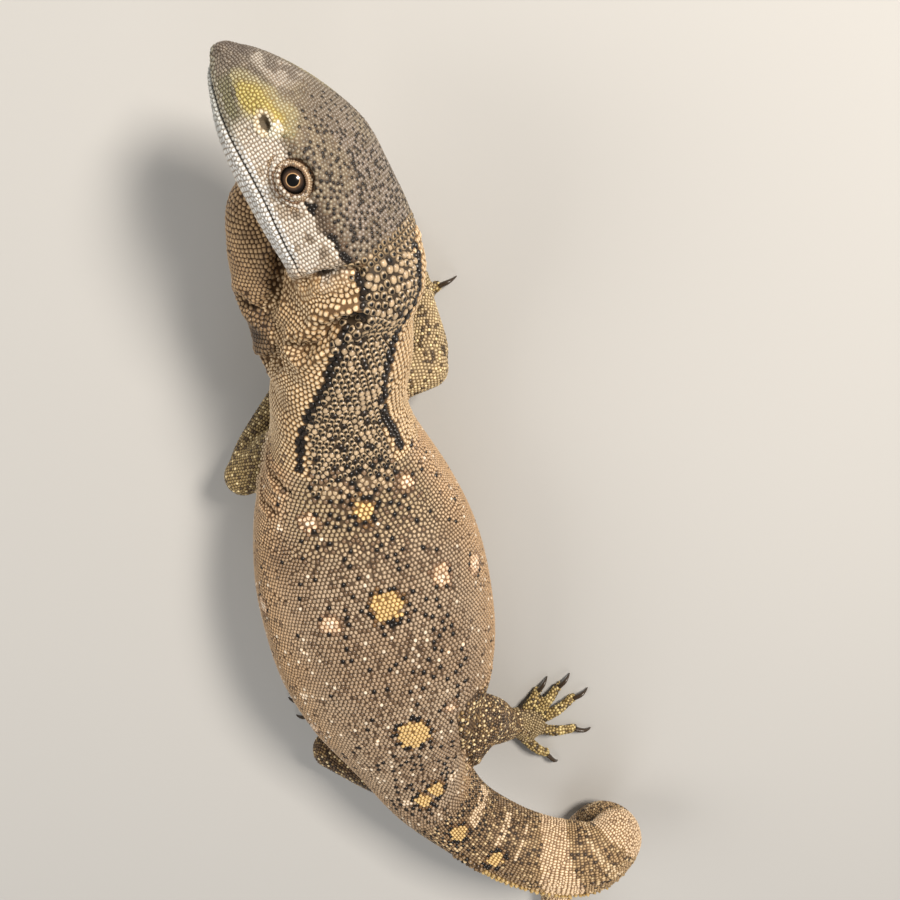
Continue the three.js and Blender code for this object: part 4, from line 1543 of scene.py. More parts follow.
    def eye_stripe(self, skull: np.ndarray, fine: np.ndarray) -> None:
        """Paints the dark stripe from behind each eye to the neck."""
        places, degrees = np.array(HEAD_STRIPE[::-1]).T
        middle = np.interp(self.seeds.place, places, degrees)
        off = np.abs(np.degrees(np.abs(self.seeds.angle)) - middle) * MM_PER_DEGREE
        line = skull & (self.seeds.place < places[-1])
        self.paint(line & (off < 2.0) & (fine > 0.45), "5b4c3f", "6e5e50", 0.6)
        self.paint(line & (off < 1.1 + 0.3 * noise(self.seeds.at, 1.6, 13)), "17110d", "1d1611")

    def lids(self, own: np.ndarray) -> None:
        """Paints the rings of beads round the eyes, dark and light by turns."""
        ring, upper = self.seeds.place, np.sin(self.seeds.angle) > -0.1
        self.paint(own, "937d64", "b5a187")
        self.paint(own & (ring < 3.2), "6b543f", "7d654d")
        self.paint(own & (ring > 3.2) & (ring < 3.8), "b9a58a", "dcccb4")
        self.paint(own & upper & (ring > 3.8) & (ring < 4.3), "b9a58a", "d2c0a5")
        self.paint(own & (ring > 4.3) & (ring < 5.0), "6f5740", "8a6f55")
        self.paint(own & (self.chance[0] < 0.1), "6d5945")

    def thigh(self, own: np.ndarray) -> None:
        """Paints the hind limbs' hide: dark brown with single cream scales and a few small groups of them."""
        chance = self.chance
        self.paint(own, "4d3b2a", "775d3f")
        self.paint(own & (chance[0] < 0.22), "36291c", "453522")
        self.paint(own & (chance[1] < 0.25), "7a6142", "ac8f61")
        grouped = 0.45 + 0.5 * smoothstep(noise(self.seeds.at, 3.2, 21), 0.5, 0.8)
        self.paint(own & self.seeds.apart & (chance[4] < grouped), "c9af80", "f2e0b6")

    def limb_colours(self, own: np.ndarray) -> None:
        """Paints the limbs: dark above with cream dots, yellower hands and feet with cross bands."""
        seeds, chance = self.seeds, self.chance
        hind = own & (seeds.part >= 2 * LIMB_PARTS)
        fore = own & ~hind
        part = seeds.part % LIMB_PARTS
        dotted = noise(seeds.at, 2.2, 21)
        self.paint(fore, "a08963", "d0ba92")
        self.paint(fore & (seeds.part >= LIMB_PARTS) & (part < 2), "7a6743", "ab9465")
        self.paint(fore & ((chance[0] < 0.1) | (seeds.apart & (chance[0] < 0.5))), "4a3a25", "5c4930")
        self.paint(fore & (part < 3) & seeds.apart & (chance[4] < 0.4), "d3bb85", "f4e3b8")
        self.thigh(hind)
        foot = own & (part >= 2)
        self.paint(foot & (dotted > 0.3), "8f7b56", "c3ae84", 0.8)
        toes = own & (part >= 3)
        bands = np.sin(seeds.place * 15.0) > 0.1
        self.paint(toes, "8d7646", "c4ac72")
        self.paint(toes & bands, "b9a266", "e2cf97")
        self.paint(toes & (chance[1] < 0.15), "4d3f29")


@dataclass(frozen=True)
class Ring:
    """One ring of a dome: its share of the edge and of the height, its painted shade, and its share of the
    tip's colour.
    """

    share: float
    rise: float
    shade: float
    tipped: float


LOW_DOME = (Ring(1.0, 0.0, 1.0, 0.0), Ring(0.88, 0.5, 0.9, 0.1))
CROWNED_DOME = (Ring(1.0, 0.0, 1.0, 0.0), Ring(0.8, 0.62, 0.94, 0.0), Ring(0.45, 0.93, 1.0, 1.0))
# Half the width of a scale's patch on the unwrap.
PATCH_HALF = 0.0015
# Where the pieces of the hide behind the neck start and end along the body's rows.
HIDE_SPANS = {
    "shoulders": (4.4, 6.2),
    "back": (6.2, 8.2),
    "flanks": (8.2, 10.2),
    "hips": (10.2, TAIL_FROM),
    "tail_root": (TAIL_FROM, 16),
    "tail": (16, 21),
    "tail_end": (21, 99),
}


@dataclass
class Coat:
    """Every scale of the hide as a small dome on the skin, shaped by its neighbours."""

    body: Body
    head: Head
    seats: tuple[EyeSeat, EyeSeat]
    skin: Skin
    sides: int = 8
    near: int = 12
    gap: float = 0.11
    gap_tint: tuple[float, float, float] = (1.1, 0.93, 0.76)
    sink: float = 0.2
    floor_room: float = 0.02
    gap_shade: float = 0.8
    root_reach: float = 1.6
    opening: float = 2.85
    round_lids: float = 6.1
    mouth_half: float = 0.42
    tree: BVHTree | None = None
    normals: np.ndarray | None = None

    def gather(self) -> Seeds:
        """Lays out all the scales, those that are placed one by one first."""
        lists = [self.lid_seeds(seat) for seat in self.seats]
        lists += [self.lip_seeds(over) for over in (0.75, -0.75)]
        skull = [
            Lattice(Region.HEAD, HeadPart.NAPE, 0.0, 0.6, 1.6, 1.8, 0.5, 0, 74, jitter=0.12),
            Lattice(Region.HEAD, HeadPart.SKULL, 0.6, 10.9, 0.92, 1.0, 0.17, 0, 60, grown=0.84, jitter=0.12),
            Lattice(Region.HEAD, HeadPart.SKULL, 0.0, 10.9, 1.08, 0.94, 0.2, 60, 108, grown=0.94),
            Lattice(Region.HEAD, HeadPart.JAW, 0.0, 10.9, 1.4, 1.2, 0.13, 108, 135),
            Lattice(Region.HEAD, HeadPart.JAW, 0.0, 10.9, 1.4, 1.35, 0.2, 135, 180),
        ]
        lists += [lattice.seeds(self.head.surface) for lattice in skull]
        hide = BodyPart.HIDE
        trunk = [
            Lattice(Region.BODY, hide, 0.9, 4.3, 1.85, 2.05, 0.6, 0, 33, grown=0.86, jitter=0.13),
            Lattice(Region.BODY, hide, 0.9, 4.2, 1.5, 1.55, 0.42, 33, 62, jitter=0.1),
            Lattice(Region.BODY, hide, 0.9, 4.2, 1.15, 1.2, 0.34, 62, 180),
            Lattice(Region.BODY, hide, 4.3, 6.2, 1.78, 1.74, 0.46, 0, 35, grown=0.78, jitter=0.12),
            Lattice(Region.BODY, hide, 6.2, TAIL_FROM, 1.4, 1.36, 0.42, 0, 35, jitter=0.11),
            Lattice(Region.BODY, hide, 4.2, 6.2, 1.5, 1.46, 0.4, 35, 68, grown=0.84, jitter=0.09),
            Lattice(Region.BODY, hide, 6.2, TAIL_FROM, 1.25, 1.2, 0.38, 35, 68, jitter=0.09),
            Lattice(Region.BODY, hide, 4.2, TAIL_FROM, 1.1, 1.08, 0.36, 68, 118),
            Lattice(Region.BODY, hide, 4.2, TAIL_FROM, 2.4, 1.8, 0.34, 118, 180, False),
            Lattice(Region.BODY, BodyPart.KEEL, 13.2, 27.9, 1.8, 1.5, 1.15, 0, 9, False, grown=0.8),
            Lattice(Region.BODY, hide, TAIL_FROM, 20.0, 1.38, 1.0, 0.34, 0, 180, False),
            Lattice(Region.BODY, hide, 20.0, 27.9, 1.34, 0.92, 0.28, 0, 180, False),
        ]
        lists += [lattice.seeds(self.body.surface) for lattice in trunk]
        throat = Lattice(Region.BODY, BodyPart.THROAT, -0.9, 1.9, 1.2, 1.25, 0.3)
        lists.append(throat.seeds(THROAT.surface))
        sizes = [(1.08, 1.08), (1.02, 1.02), (1.0, 1.0)] + [(1.15, 1.0)] * 5
        for number, limb in enumerate(LIMBS):
            for part, (tube, size) in enumerate(zip(limb.tubes(), sizes)):
                row = Lattice(Region.LIMB, number * LIMB_PARTS + part, -0.9, 1.95, *size, 0.24)
                lists.append(row.seeds(tube.surface))
        return Seeds.joined(lists)

    def lid_seeds(self, seat: EyeSeat) -> Seeds:
        """Sets beads on the lids in rings round the eye."""
        rings = ((3.0, 0.46), (3.5, 0.5), (4.0, 0.62), (4.6, 0.72), (5.2, 0.78), (5.8, 0.84))
        lists = []
        for ring, pitch in rings:
            count = round(FULL_TURN * ring / pitch)
            turns = (np.arange(count) + 0.5) / count * FULL_TURN
            at = seat.on_lid(ring, turns)
            along = unit(seat.on_lid(ring, turns + 0.01) - at)
            bead = (0.55 * pitch, 0.34, 0.14)
            lists.append(Seeds(at, along, ring, turns, *bead, Region.HEAD, HeadPart.LIDS))
        return Seeds.joined(lists)

    def lip_seeds(self, over: float) -> Seeds:
        """Sets a row of lip scales along the mouth, over or under its line by so many millimetres."""
        turns = np.radians(np.linspace(50, 175, 400))
        grid = self.head.point(*sheet_of(np.linspace(1.2, 10.6, 400), turns))
        height = grid[..., 2] - self.head.mouth_height(grid[..., 1]) - over
        line = grid[np.arange(len(grid)), np.argmin(np.abs(height), axis=1)]
        run = run_along(line)
        spots = np.arange(0.5, run[-1], 1.2)
        line = np.array([np.interp(spots, run, line[:, k]) for k in range(3)]).T
        line = np.vstack([line, line * [-1, 1, 1]])
        at = self.head.to_world(line)
        ahead = self.head.to_world(line + [0, 1, 0]) - at
        return Seeds(at, unit(ahead), line[:, 1], 0.0, 0.62, 0.62, 0.3, Region.HEAD, HeadPart.LIPS)

    def read_skin(self) -> None:
        """Builds the tree that finds the nearest point of the skin."""
        shape, normals = self.skin.shape, self.skin.shape.normals()
        faces = [tuple(face.vertices) for face in self.skin.made.data.polygons]
        self.tree = BVHTree.FromPolygons(shape.points.tolist(), faces)
        sizes = np.diff(np.append(shape.starts, len(shape.loops)))
        owner = np.repeat(np.arange(len(sizes)), sizes)
        total = [np.bincount(owner, normals[shape.loops, k], len(sizes)) for k in range(3)]
        self.normals = unit(np.array(total).T)

    def settle(self, points: np.ndarray) -> tuple[np.ndarray, np.ndarray, np.ndarray]:
        """Finds the nearest point of the skin to each point.

        Args:
            points: Points in millimetres.

        Returns:
            The points on the skin, its outward directions there, and how far each point was.
        """
        found = [self.tree.find_nearest(tuple(point)) for point in points]
        at = np.array([hit[0] for hit in found])
        rows = np.array([hit[2] for hit in found])
        return at, self.normals[rows], np.linalg.norm(points - at, axis=1)

    def neighbours(self, points: np.ndarray, count: int) -> np.ndarray:
        """Lists the nearest other points of each point, nearest first."""
        tree = tree_of(points)
        return np.array([[hit[1] for hit in tree.find_n(tuple(point), count + 1)][1:] for point in points])

    def filled(self, seeds: Seeds) -> Seeds:
        """Adds scales wherever a point of the skin is far from all of them, like the nearest of them."""
        tree = tree_of(seeds.at)
        points = self.skin.shape.points[self.bare_allowed(self.skin.shape.points)]
        found = [tree.find(tuple(point)) for point in points]
        rows = np.array([hit[1] for hit in found])
        far = np.array([hit[2] for hit in found])
        size = seeds.size
        empty = far > 1.3 * size[rows]
        order = np.argsort(-far[empty], kind="stable")
        extra = seeds.kept(rows[empty][order])
        extra.at = points[empty][order]
        odd = (extra.region == Region.HEAD) & np.isin(extra.part, (HeadPart.LIDS, HeadPart.LIPS))
        extra.part = np.where(odd, HeadPart.SKULL, extra.part)
        extra.half_long = np.where(odd, 0.62, extra.half_long)
        extra.half_wide = np.where(odd, 0.58, extra.half_wide)
        extra = self.thinned(extra, 40, 0.8)
        log.info("%d scales fill bare places", len(extra.at))
        return Seeds.joined([seeds, extra])

    def bare_allowed(self, points: np.ndarray) -> np.ndarray:
        """Tells which points may carry a scale: not the eyes' openings, the nostrils or the mouth's line."""
        local = self.head.to_head(points)
        head, near, y = self.head, self.skin.near_head(local), local[:, 1]
        bare = near & (np.abs(local[:, 2] - head.mouth_height(y)) < self.mouth_half) & (y > 7)
        bare |= near & (head.round_hole(local, head.nostril, (2.0, 1.5)) < 1)
        bare |= near & (head.round_hole(local, head.ear, (1.2, 3.0)) < 1)
        for seat in self.seats:
            bare |= seat.within(local, self.opening)
        return ~bare

    def thinned(self, seeds: Seeds, count: int = 8, share: float = 0.62) -> Seeds:
        """Drops each scale that stands too near to one that comes before it."""
        index = self.neighbours(seeds.at, min(count, len(seeds.at) - 1))
        size = seeds.size
        span = np.linalg.norm(seeds.at[index] - seeds.at[:, None], axis=2)
        clash = (span < share * (size[index] + size[:, None])) & (index > np.arange(len(index))[:, None])
        keep = np.ones(len(seeds.at), dtype=bool)
        for row in np.flatnonzero(clash.any(1)):
            if keep[row]:
                keep[index[row][clash[row]]] = False
        return seeds.kept(keep)

    def relaxed(self, seeds: Seeds, rounds: int = 4) -> tuple[Seeds, np.ndarray]:
        """Pushes crowded scales apart along the skin.

        Args:
            seeds: The scales' roots.
            rounds: How many pushes.

        Returns:
            The moved roots and the skin's outward direction at each.
        """
        size = seeds.size
        normals = np.zeros_like(seeds.at)
        for _ in range(rounds):
            index = self.neighbours(seeds.at, 8)
            away = seeds.at[:, None] - seeds.at[index]
            span = np.linalg.norm(away, axis=2)
            want = 0.86 * (size[index] + size[:, None])
            push = np.maximum(want - span, 0) / np.maximum(span, 1e-6)
            loose = (seeds.part < HeadPart.LIDS) | (seeds.region != Region.HEAD)
            seeds.at = seeds.at + (away * push[..., None] * 0.35 * loose[:, None, None]).sum(1)
            seeds.at, normals, _ = self.settle(seeds.at)
        return seeds, normals

    def prepare(self) -> tuple[Seeds, np.ndarray]:
        """Lays, settles, thins and relaxes all the scales."""
        self.read_skin()
        seeds = self.gather()
        seeds.at, _, far = self.settle(seeds.at)
        keep = (far < self.root_reach) & self.bare_allowed(seeds.at)
        skull = (seeds.region == Region.HEAD) & (seeds.part < HeadPart.LIDS)
        for seat in self.seats:
            keep &= ~(seat.within(self.head.to_head(seeds.at), self.round_lids) & skull)
        seeds = self.thinned(seeds.kept(keep))
        return self.relaxed(self.filled(seeds))

    def spaced(self, seeds: Seeds) -> np.ndarray:
        """Picks scales of which no two touch.

        Each of three rounds picks every scale that comes before all its neighbours in a random order,
        among those that have no picked neighbour yet.

        Args:
            seeds: The scales' roots.

        Returns:
            Which scales are picked.
        """
        count = len(seeds.at)
        index = self.neighbours(seeds.at, 6)
        order = np.random.default_rng(3).permutation(count)
        picked = np.zeros(count, dtype=bool)
        for _ in range(3):
            free = ~picked & ~picked[index].any(1)
            rank = np.where(free, order, count)
            picked |= free & (rank[:, None] < rank[index]).all(1)
        return picked

    def outlines(self, seeds: Seeds, normals: np.ndarray) -> tuple[np.ndarray, np.ndarray]:
        """Works out each scale's outline.

        In each of the directions round a scale its edge lies half way to the nearest neighbour's, shared
        by their sizes, less half the gap, and never outside an ellipse of its own half sizes.

        Args:
            seeds: The scales' roots.
            normals: The skin's outward direction at each.

        Returns:
            The edge's distance in each direction, and the directions themselves.
        """
        along = unit(seeds.along - normals * (seeds.along * normals).sum(1, keepdims=True))
        across = np.cross(normals, along)
        turns = np.arange(self.sides) / self.sides * FULL_TURN
        cos, sin = np.cos(turns), np.sin(turns)
        ways = along[:, None] * cos[:, None] + across[:, None] * sin[:, None]
        size = seeds.size
        index = self.neighbours(seeds.at, self.near)
        offset = seeds.at[index] - seeds.at[:, None]
        span = (offset**2).sum(2)
        share = size[:, None] / (size[index] + size[:, None])
        toward = np.einsum("nkx,nmx->nkm", ways, offset)
        limit = np.where(toward > 0.05, (share * span)[:, None] / np.maximum(toward, 0.05), 99.0)
        edge = limit.min(2) - self.gap / 2
        oval = 1 / np.hypot(cos / seeds.half_long[:, None], sin / seeds.half_wide[:, None])
        square = (seeds.region == Region.BODY) & (seeds.place > TAIL_FROM)
        oval = oval * np.where(square, 1.4, 1.08)[:, None]
        return np.maximum(np.minimum(edge, oval), 0.22 * size[:, None]), ways

    def build(self, material: bpy.types.Material) -> None:
        """Makes the scales' meshes, one for each part of the hide."""
        seeds, normals = self.prepare()
        seeds.apart = self.spaced(seeds)
        edge, ways = self.outlines(seeds, normals)
        marks = Markings(self.body, self.head, seeds)
        marks.colour()
        # The skin between the scales takes each scale's side colour darkened by its rim: partly dark pigment,
        # partly painted shade.
        self.dress_skin(seeds, marks.side * marks.rim[:, None] * self.gap_shade * self.gap_tint)
        for name, (mask, slot) in self.groups(seeds).items():
            rows = np.flatnonzero(mask)
            colours = (marks.side[rows], marks.tip[rows], marks.rim[rows])
            rings = CROWNED_DOME if name in ("scales_neck", "scales_shoulders") else LOW_DOME
            outlines = (normals[rows], edge[rows], ways[rows])
            piece = self.domes(name, seeds.kept(rows), outlines, colours, rings)
            enter(piece, slot, material)

    def groups(self, seeds: Seeds) -> dict[str, tuple[np.ndarray, str]]:
        """Divides the scales among the pieces of the coat.

        Args:
            seeds: The scales' roots.

        Returns:
            For each piece its name, the scales that it takes, and its slot.
        """
        body, head = seeds.region == Region.BODY, seeds.region == Region.HEAD
        local, place = self.head.to_head(seeds.at), seeds.place
        under = local[:, 2] < self.head.mouth_height(local[:, 1])
        throat, rear = body & (seeds.part == BodyPart.THROAT), head & (seeds.part == HeadPart.NAPE)
        head, body = head & ~rear, body & ~throat
        groups = {
            "scales_crown": (head & ~under & (local[:, 2] > 6), "head_hide"),
            "scales_cheeks": (head & ~under & (local[:, 2] <= 6), "head_hide"),
            "scales_jaw": (head & under, "jaw_hide"),
            "scales_throat": (throat, "hide"),
            "scales_neck": (rear | (body & (place < HIDE_SPANS["shoulders"][0])), "hide"),
        }
        for name, (low, high) in HIDE_SPANS.items():
            groups[f"scales_{name}"] = (body & (place >= low) & (place < high), "hide")
        for number, limb in enumerate(LIMBS):
            own = (seeds.region == Region.LIMB) & (seeds.part // LIMB_PARTS == number)
            groups[f"scales_{limb.name}"] = (own, "limb_hide")
        return groups

    def domes(
        self,
        name: str,
        seeds: Seeds,
        outlines: tuple[np.ndarray, np.ndarray, np.ndarray],
        colours: tuple[np.ndarray, np.ndarray, np.ndarray],
        rings: tuple[Ring, ...],
    ) -> bpy.types.Object:
        """Makes one mesh of domes: rings of its outline drawn in and lifted, and an apex that leans back.

        Args:
            name: The piece's name.
            seeds: The scales' roots.
            outlines: The skin's outward direction, the edge's distance each way, and these ways.
            colours: The side's colour, the tip's colour and the rim's shade.
            rings: The rings from the rim inwards.

        Returns:
            The object.
        """
        normals, edge, ways = outlines
        side, tip, rim = colours
        rng = np.random.default_rng(len(seeds.at))
        height = seeds.height * (0.85 + 0.3 * rng.random(len(seeds.at)))
        lean = ways[:, 0] * (seeds.half_long * 0.12)[:, None]
        levels = []
        for ring in rings:
            lift = height * ring.rise - (self.sink if ring.rise == 0 else 0)
            shift = normals * lift[:, None]
            drawn = seeds.at[:, None] + ways * (edge * ring.share)[..., None] + shift[:, None]
            levels.append(drawn + (lean * ring.rise)[:, None])
        apex = seeds.at + normals * height[:, None] + lean
        points = np.concatenate([*levels, apex[:, None]], axis=1)
        points[..., 2] = np.maximum(points[..., 2], self.floor_room)
        faces = self.dome_faces(len(rings))
        count = points.shape[1]
        triangles = (faces[None] + count * np.arange(len(points))[:, None, None]).reshape(-1, 3)
        number = [self.sides] * len(rings) + [1]
        # Painted highlight and painted shade: each dome runs from its rim, darkened as pigment between the
        # scales and as painted shade, over its side to its tip, which where lighter is partly the scale's pale
        # crown and partly painted highlight.
        shades = np.repeat([ring.shade for ring in rings] + [1.0], number)[:, None]
        tipped = np.repeat([ring.tipped for ring in rings] + [1.0], number)[:, None]
        tone = (side[:, None] + (tip - side)[:, None] * tipped) * shades
        tone[:, : self.sides] *= rim[:, None, None] * np.array(self.gap_tint)
        mesh = bpy.data.meshes.new(name)
        flat = points.reshape(-1, 3) * MM
        mesh.vertices.add(len(flat))
        mesh.vertices.foreach_set("co", flat.ravel())
        mesh.loops.add(triangles.size)
        mesh.loops.foreach_set("vertex_index", triangles.ravel())
        mesh.polygons.add(len(triangles))
        mesh.polygons.foreach_set("loop_start", np.arange(len(triangles)) * 3)
        mesh.polygons.foreach_set("use_smooth", np.ones(len(triangles), dtype=bool))
        mesh.update(calc_edges=True)
        paint(mesh, tone.reshape(-1, 3))
        centre = self.patches(seeds)
        turns = np.arange(self.sides) / self.sides * FULL_TURN
        circle = np.stack([np.cos(turns), np.sin(turns)], -1)
        spread = np.concatenate([*(circle * ring.share for ring in rings), [[0, 0]]]) * PATCH_HALF
        patch = (centre[:, None] + spread[None]).reshape(-1, 2)
        layer = mesh.uv_layers.new(name="OFBake")
        layer.data.foreach_set("uv", patch[triangles.ravel()].ravel())
        made = bpy.data.objects.new(name, mesh)
        bpy.context.scene.collection.objects.link(made)
        return made

    def dome_faces(self, rings: int) -> np.ndarray:
        """Lists a dome's triangles: bands between its rings and a fan at its apex."""
        faces = []
        for k in range(self.sides):
            after = (k + 1) % self.sides
            for ring in range(rings - 1):
                low, high = ring * self.sides, (ring + 1) * self.sides
                faces += [[low + k, low + after, high + after], [low + k, high + after, high + k]]
            top = (rings - 1) * self.sides
            faces.append([top + k, top + after, rings * self.sides])
        return np.array(faces)

    def patches(self, seeds: Seeds) -> np.ndarray:
        """Unwraps the hide: along the part and round it, each part in a cell of the square.

        Args:
            seeds: The roots of one piece's scales.

        Returns:
            A place in the unit square for each scale.
        """
        number = np.unique(seeds.region * 100 + seeds.part, return_inverse=True)[1]
        across = math.ceil(math.sqrt(number.max() + 1))
        result = np.zeros((len(seeds.at), 2))
        for cell in range(number.max() + 1):
            own = number == cell
            place, angle = seeds.place[own], seeds.angle[own]
            span = max(float(np.ptp(place)), 1e-6)
            flat = np.stack([(place - place.min()) / span, (angle / FULL_TURN + 0.5) % 1.0], -1)
            corner = np.array([cell % across, cell // across])
            result[own] = (corner + 0.03 + 0.94 * flat) / across
        return result

    def dress_skin(self, seeds: Seeds, colours: np.ndarray) -> None:
        """Gives each point of the skin the darkened colour of the scale that stands nearest, as its own dark
        pigment and painted shade between the scales, with more painted shade in the mouth's line, nostrils,
        ears and eye openings.
        """
        tree = tree_of(seeds.at)
        points = self.skin.shape.points
        rows = [tree.find(tuple(point))[1] for point in points]
        # Painted shade: the skin in the mouth's line, the nostrils, the ears and the eyes' openings is
        # darkened to 0.3.
        shade = np.where(self.bare_allowed(points), 1.0, 0.3)
        paint(self.skin.made.data, colours[rows] * shade[:, None])


# The eye's colours by the distance from its axis: black pupil, thin light ring, brown iris, dark margin.
EYE_RINGS = {
    0: "040303",
    1.42: "040303",
    1.48: "b8946c",
    1.58: "a8845c",
    1.68: "4c392b",
    2.1: "382a20",
    2.35: "20160f",
    2.6: "080605",
    50: "080605",
}


@dataclass(frozen=True)
class Eyeball:
    """One eye: a ball with its colours in rings round the pupil, and a cornea that stands out a little."""

    seat: EyeSeat
    side: str
    cornea_rise: float = 0.2
    cornea_half: float = 2.4
    front_until: float = 1.5
    close_rings: tuple[float, ...] = (0.3, 0.8, 1.2, 1.38, 1.43, 1.48, 1.53, 1.58, 1.63, 1.7, 1.8, 2.0)
    outer_rings: tuple[float, ...] = (2.1, 2.2, 2.35, 2.5, 2.65, 2.8, 3.0)

    def build(self, material: bpy.types.Material) -> None:
        """Makes the ball on a polar grid round its axis, with close rings where the colours change."""
        seat = self.seat
        fine = np.arcsin(np.array(self.close_rings + self.outer_rings) / seat.radius)
        turns = np.concatenate([fine, np.linspace(fine[-1] + 0.1, math.pi - 0.05, 18)])
        turns, around = sheet_of(turns, np.linspace(0, FULL_TURN, 64, endpoint=False))
        flat = seat.radius * np.sin(turns)
        front = turns < self.front_until
        radius = seat.radius + self.cornea_rise * bell(flat, 0, self.cornea_half) * front
        ball = np.stack([np.sin(turns) * np.cos(around), np.sin(turns) * np.sin(around), np.cos(turns)], -1)
        local = ball * radius[..., None]
        points, faces = tube_mesh(seat.head.to_world(seat.centre + local @ seat.axes))
        made = mesh_object(f"eyeball_{self.side}", points, faces)
        spread = np.stack([np.cos(around[0]) * 12, np.sin(around[0]) * 12, 0 * around[0]], -1)
        streak = np.tile(noise(spread, 1.0, 5), len(turns))
        paint(made.data, self.colours((flat * np.where(front, 1, 9)).ravel(), streak, len(points)))
        enter(made, "eye", material, f"eye_{self.side}")

    def colours(self, ring: np.ndarray, streak: np.ndarray, count: int) -> np.ndarray:
        """Colours the ball by rings, each direction a little lighter or darker than the next.

        Args:
            ring: The distance of each point from the axis.
            streak: A random value for the point's direction.
            count: How many points the mesh has, with its two poles last.

        Returns:
            Linear colours.
        """
        table = np.array([linear(colour) for colour in EYE_RINGS.values()])
        colour = np.array([np.interp(ring, list(EYE_RINGS), table[:, k]) for k in range(3)]).T
        colour *= (0.75 + 0.5 * streak)[:, None]
        return np.vstack([colour, np.tile(linear(EYE_RINGS[0]), (count - len(colour), 1))])


@dataclass(frozen=True)
class Claws:
    """The five claws of one limb, hooked and tapering."""

    limb: Limb
    floor_room: float = 0.02

    def build(self, material: bpy.types.Material) -> None:
        """Runs each claw as a tube through its points with a sharp end."""
        rows, around = sheet_of(np.linspace(0, 1, 22), np.linspace(0, FULL_TURN, 16, endpoint=False))
        claws = []
        for digit in self.limb.digits:
            points, faces = tube_mesh(digit.claw().point(rows, around))
            points[:, 2] = np.maximum(points[:, 2], self.floor_room)
            claws.append((points, faces))
        made = joined_object(f"claws_{self.limb.name}", claws)
        enter(made, "claw", material, *(f"{self.limb.name}_claw_{k}" for k in range(1, 6)))


def add(tree: bpy.types.NodeTree, kind: str, settings: dict | None = None, **links) -> bpy.types.Node:
    """Adds a node, with attributes set by name, and inputs set or linked.

    Args:
        tree: The node tree.
        kind: The node's type.
        settings: Attributes of the node.
        links: Inputs by name, with underscores for spaces, or by number, as i0: a value or an output.

    Returns:
        The node.
    """
    node = tree.nodes.new(kind)
    for name, value in (settings or {}).items():
        setattr(node, name, value)
    for name, value in links.items():
        numbered = name[0] == "i" and name[1:].isdigit()
        socket = node.inputs[int(name[1:]) if numbered else name.replace("_", " ")]
        if isinstance(value, bpy.types.NodeSocket):
            tree.links.new(value, socket)
        else:
            socket.default_value = value
    return node


@dataclass(frozen=True)
class Finish:
    """A material in general: nodes of its own that feed one shader."""

    name: str

    def feed(self, tree: bpy.types.NodeTree) -> dict[str, object]:
        """Adds the finish's own nodes and gives the shader's inputs."""
        raise NotImplementedError

    def mottled(self, tree: bpy.types.NodeTree, scale: float, *tones: np.ndarray) -> bpy.types.NodeSocket:
        """Mixes two colours by a noise on the object's own coordinates.

        Args:
            tree: The node tree.
            scale: How many of the noise's spots fit in a metre.
            tones: The two colours.

        Returns:
            The mixed colour's output.
        """
        place = add(tree, "ShaderNodeTexCoord")
        cloud = add(tree, "ShaderNodeTexNoise", Vector=place.outputs["Object"], Scale=scale)
        first, second = ((*tone, 1.0) for tone in tones)
        share = cloud.outputs["Fac"]
        return add(tree, "ShaderNodeMix", {"data_type": "RGBA"}, i0=share, i6=first, i7=second).outputs[2]

    def build(self) -> bpy.types.Material:
        """Makes the material: the finish's own nodes, the shader and the output."""
        material = bpy.data.materials.new(self.name)
        material.use_nodes = True
        tree = material.node_tree
        tree.nodes.clear()
        shader = add(tree, "ShaderNodeBsdfPrincipled", **self.feed(tree))
        add(tree, "ShaderNodeOutputMaterial", Surface=shader.outputs[0])
        return material


@dataclass(frozen=True)
class Hide(Finish):
    """Keratin over living skin: dry, faintly glossy on each scale's crown, dull between them."""

    roughness: float
    grain: float = 0.35
    grain_depth: float = 0.05

    def feed(self, tree: bpy.types.NodeTree) -> dict[str, object]:
        """Reads the marking and adds grain finer than a scale."""
        marking = add(tree, "ShaderNodeVertexColor", {"layer_name": "marking"}).outputs["Color"]
        place = add(tree, "ShaderNodeTexCoord").outputs["Object"]
        grain = add(tree, "ShaderNodeTexNoise", Vector=place, Scale=1 / (self.grain * MM), Detail=3.0)
        speck = grain.outputs["Fac"]
        span = {"From_Min": 0.3, "From_Max": 0.7, "To_Min": 0.8, "To_Max": 1.18}
        shade = add(tree, "ShaderNodeMapRange", Value=speck, **span).outputs[0]
        tinted = add(tree, "ShaderNodeVectorMath", {"operation": "MULTIPLY"}, i0=marking, i1=shade)
        bump = add(tree, "ShaderNodeBump", Strength=0.5, Distance=self.grain_depth * MM, Height=speck)
        inputs = {"Base_Color": tinted.outputs[0], "Normal": bump.outputs[0]}
        return inputs | {"Roughness": self.roughness, "IOR": 1.54}


@dataclass(frozen=True)
class Cornea(Finish):
    """A wet clear cornea over the iris: sharp highlights on dark brown."""

    name: str = "wet_cornea"

    def feed(self, tree: bpy.types.NodeTree) -> dict[str, object]:
        """Reads the eye's rings under a smooth coat."""
        marking = add(tree, "ShaderNodeVertexColor", {"layer_name": "marking"})
        wet = {"Roughness": 0.16, "IOR": 1.38, "Coat_Weight": 0.35, "Coat_Roughness": 0.03}
        return {"Base_Color": marking.outputs["Color"]} | wet


@dataclass(frozen=True)
class Horn(Finish):
    """Dark horn, smooth from wear, with growth streaks 0.4 mm apart that show as faint lighter lines."""

    name: str = "dark_horn"
    streak: float = 0.4

    def feed(self, tree: bpy.types.NodeTree) -> dict[str, object]:
        """Mixes two browns by a fine noise."""
        tone = self.mottled(tree, 1 / (self.streak * MM), linear("17120e"), linear("4a3a2a"))
        return {"Base_Color": tone, "Roughness": 0.32, "IOR": 1.55}


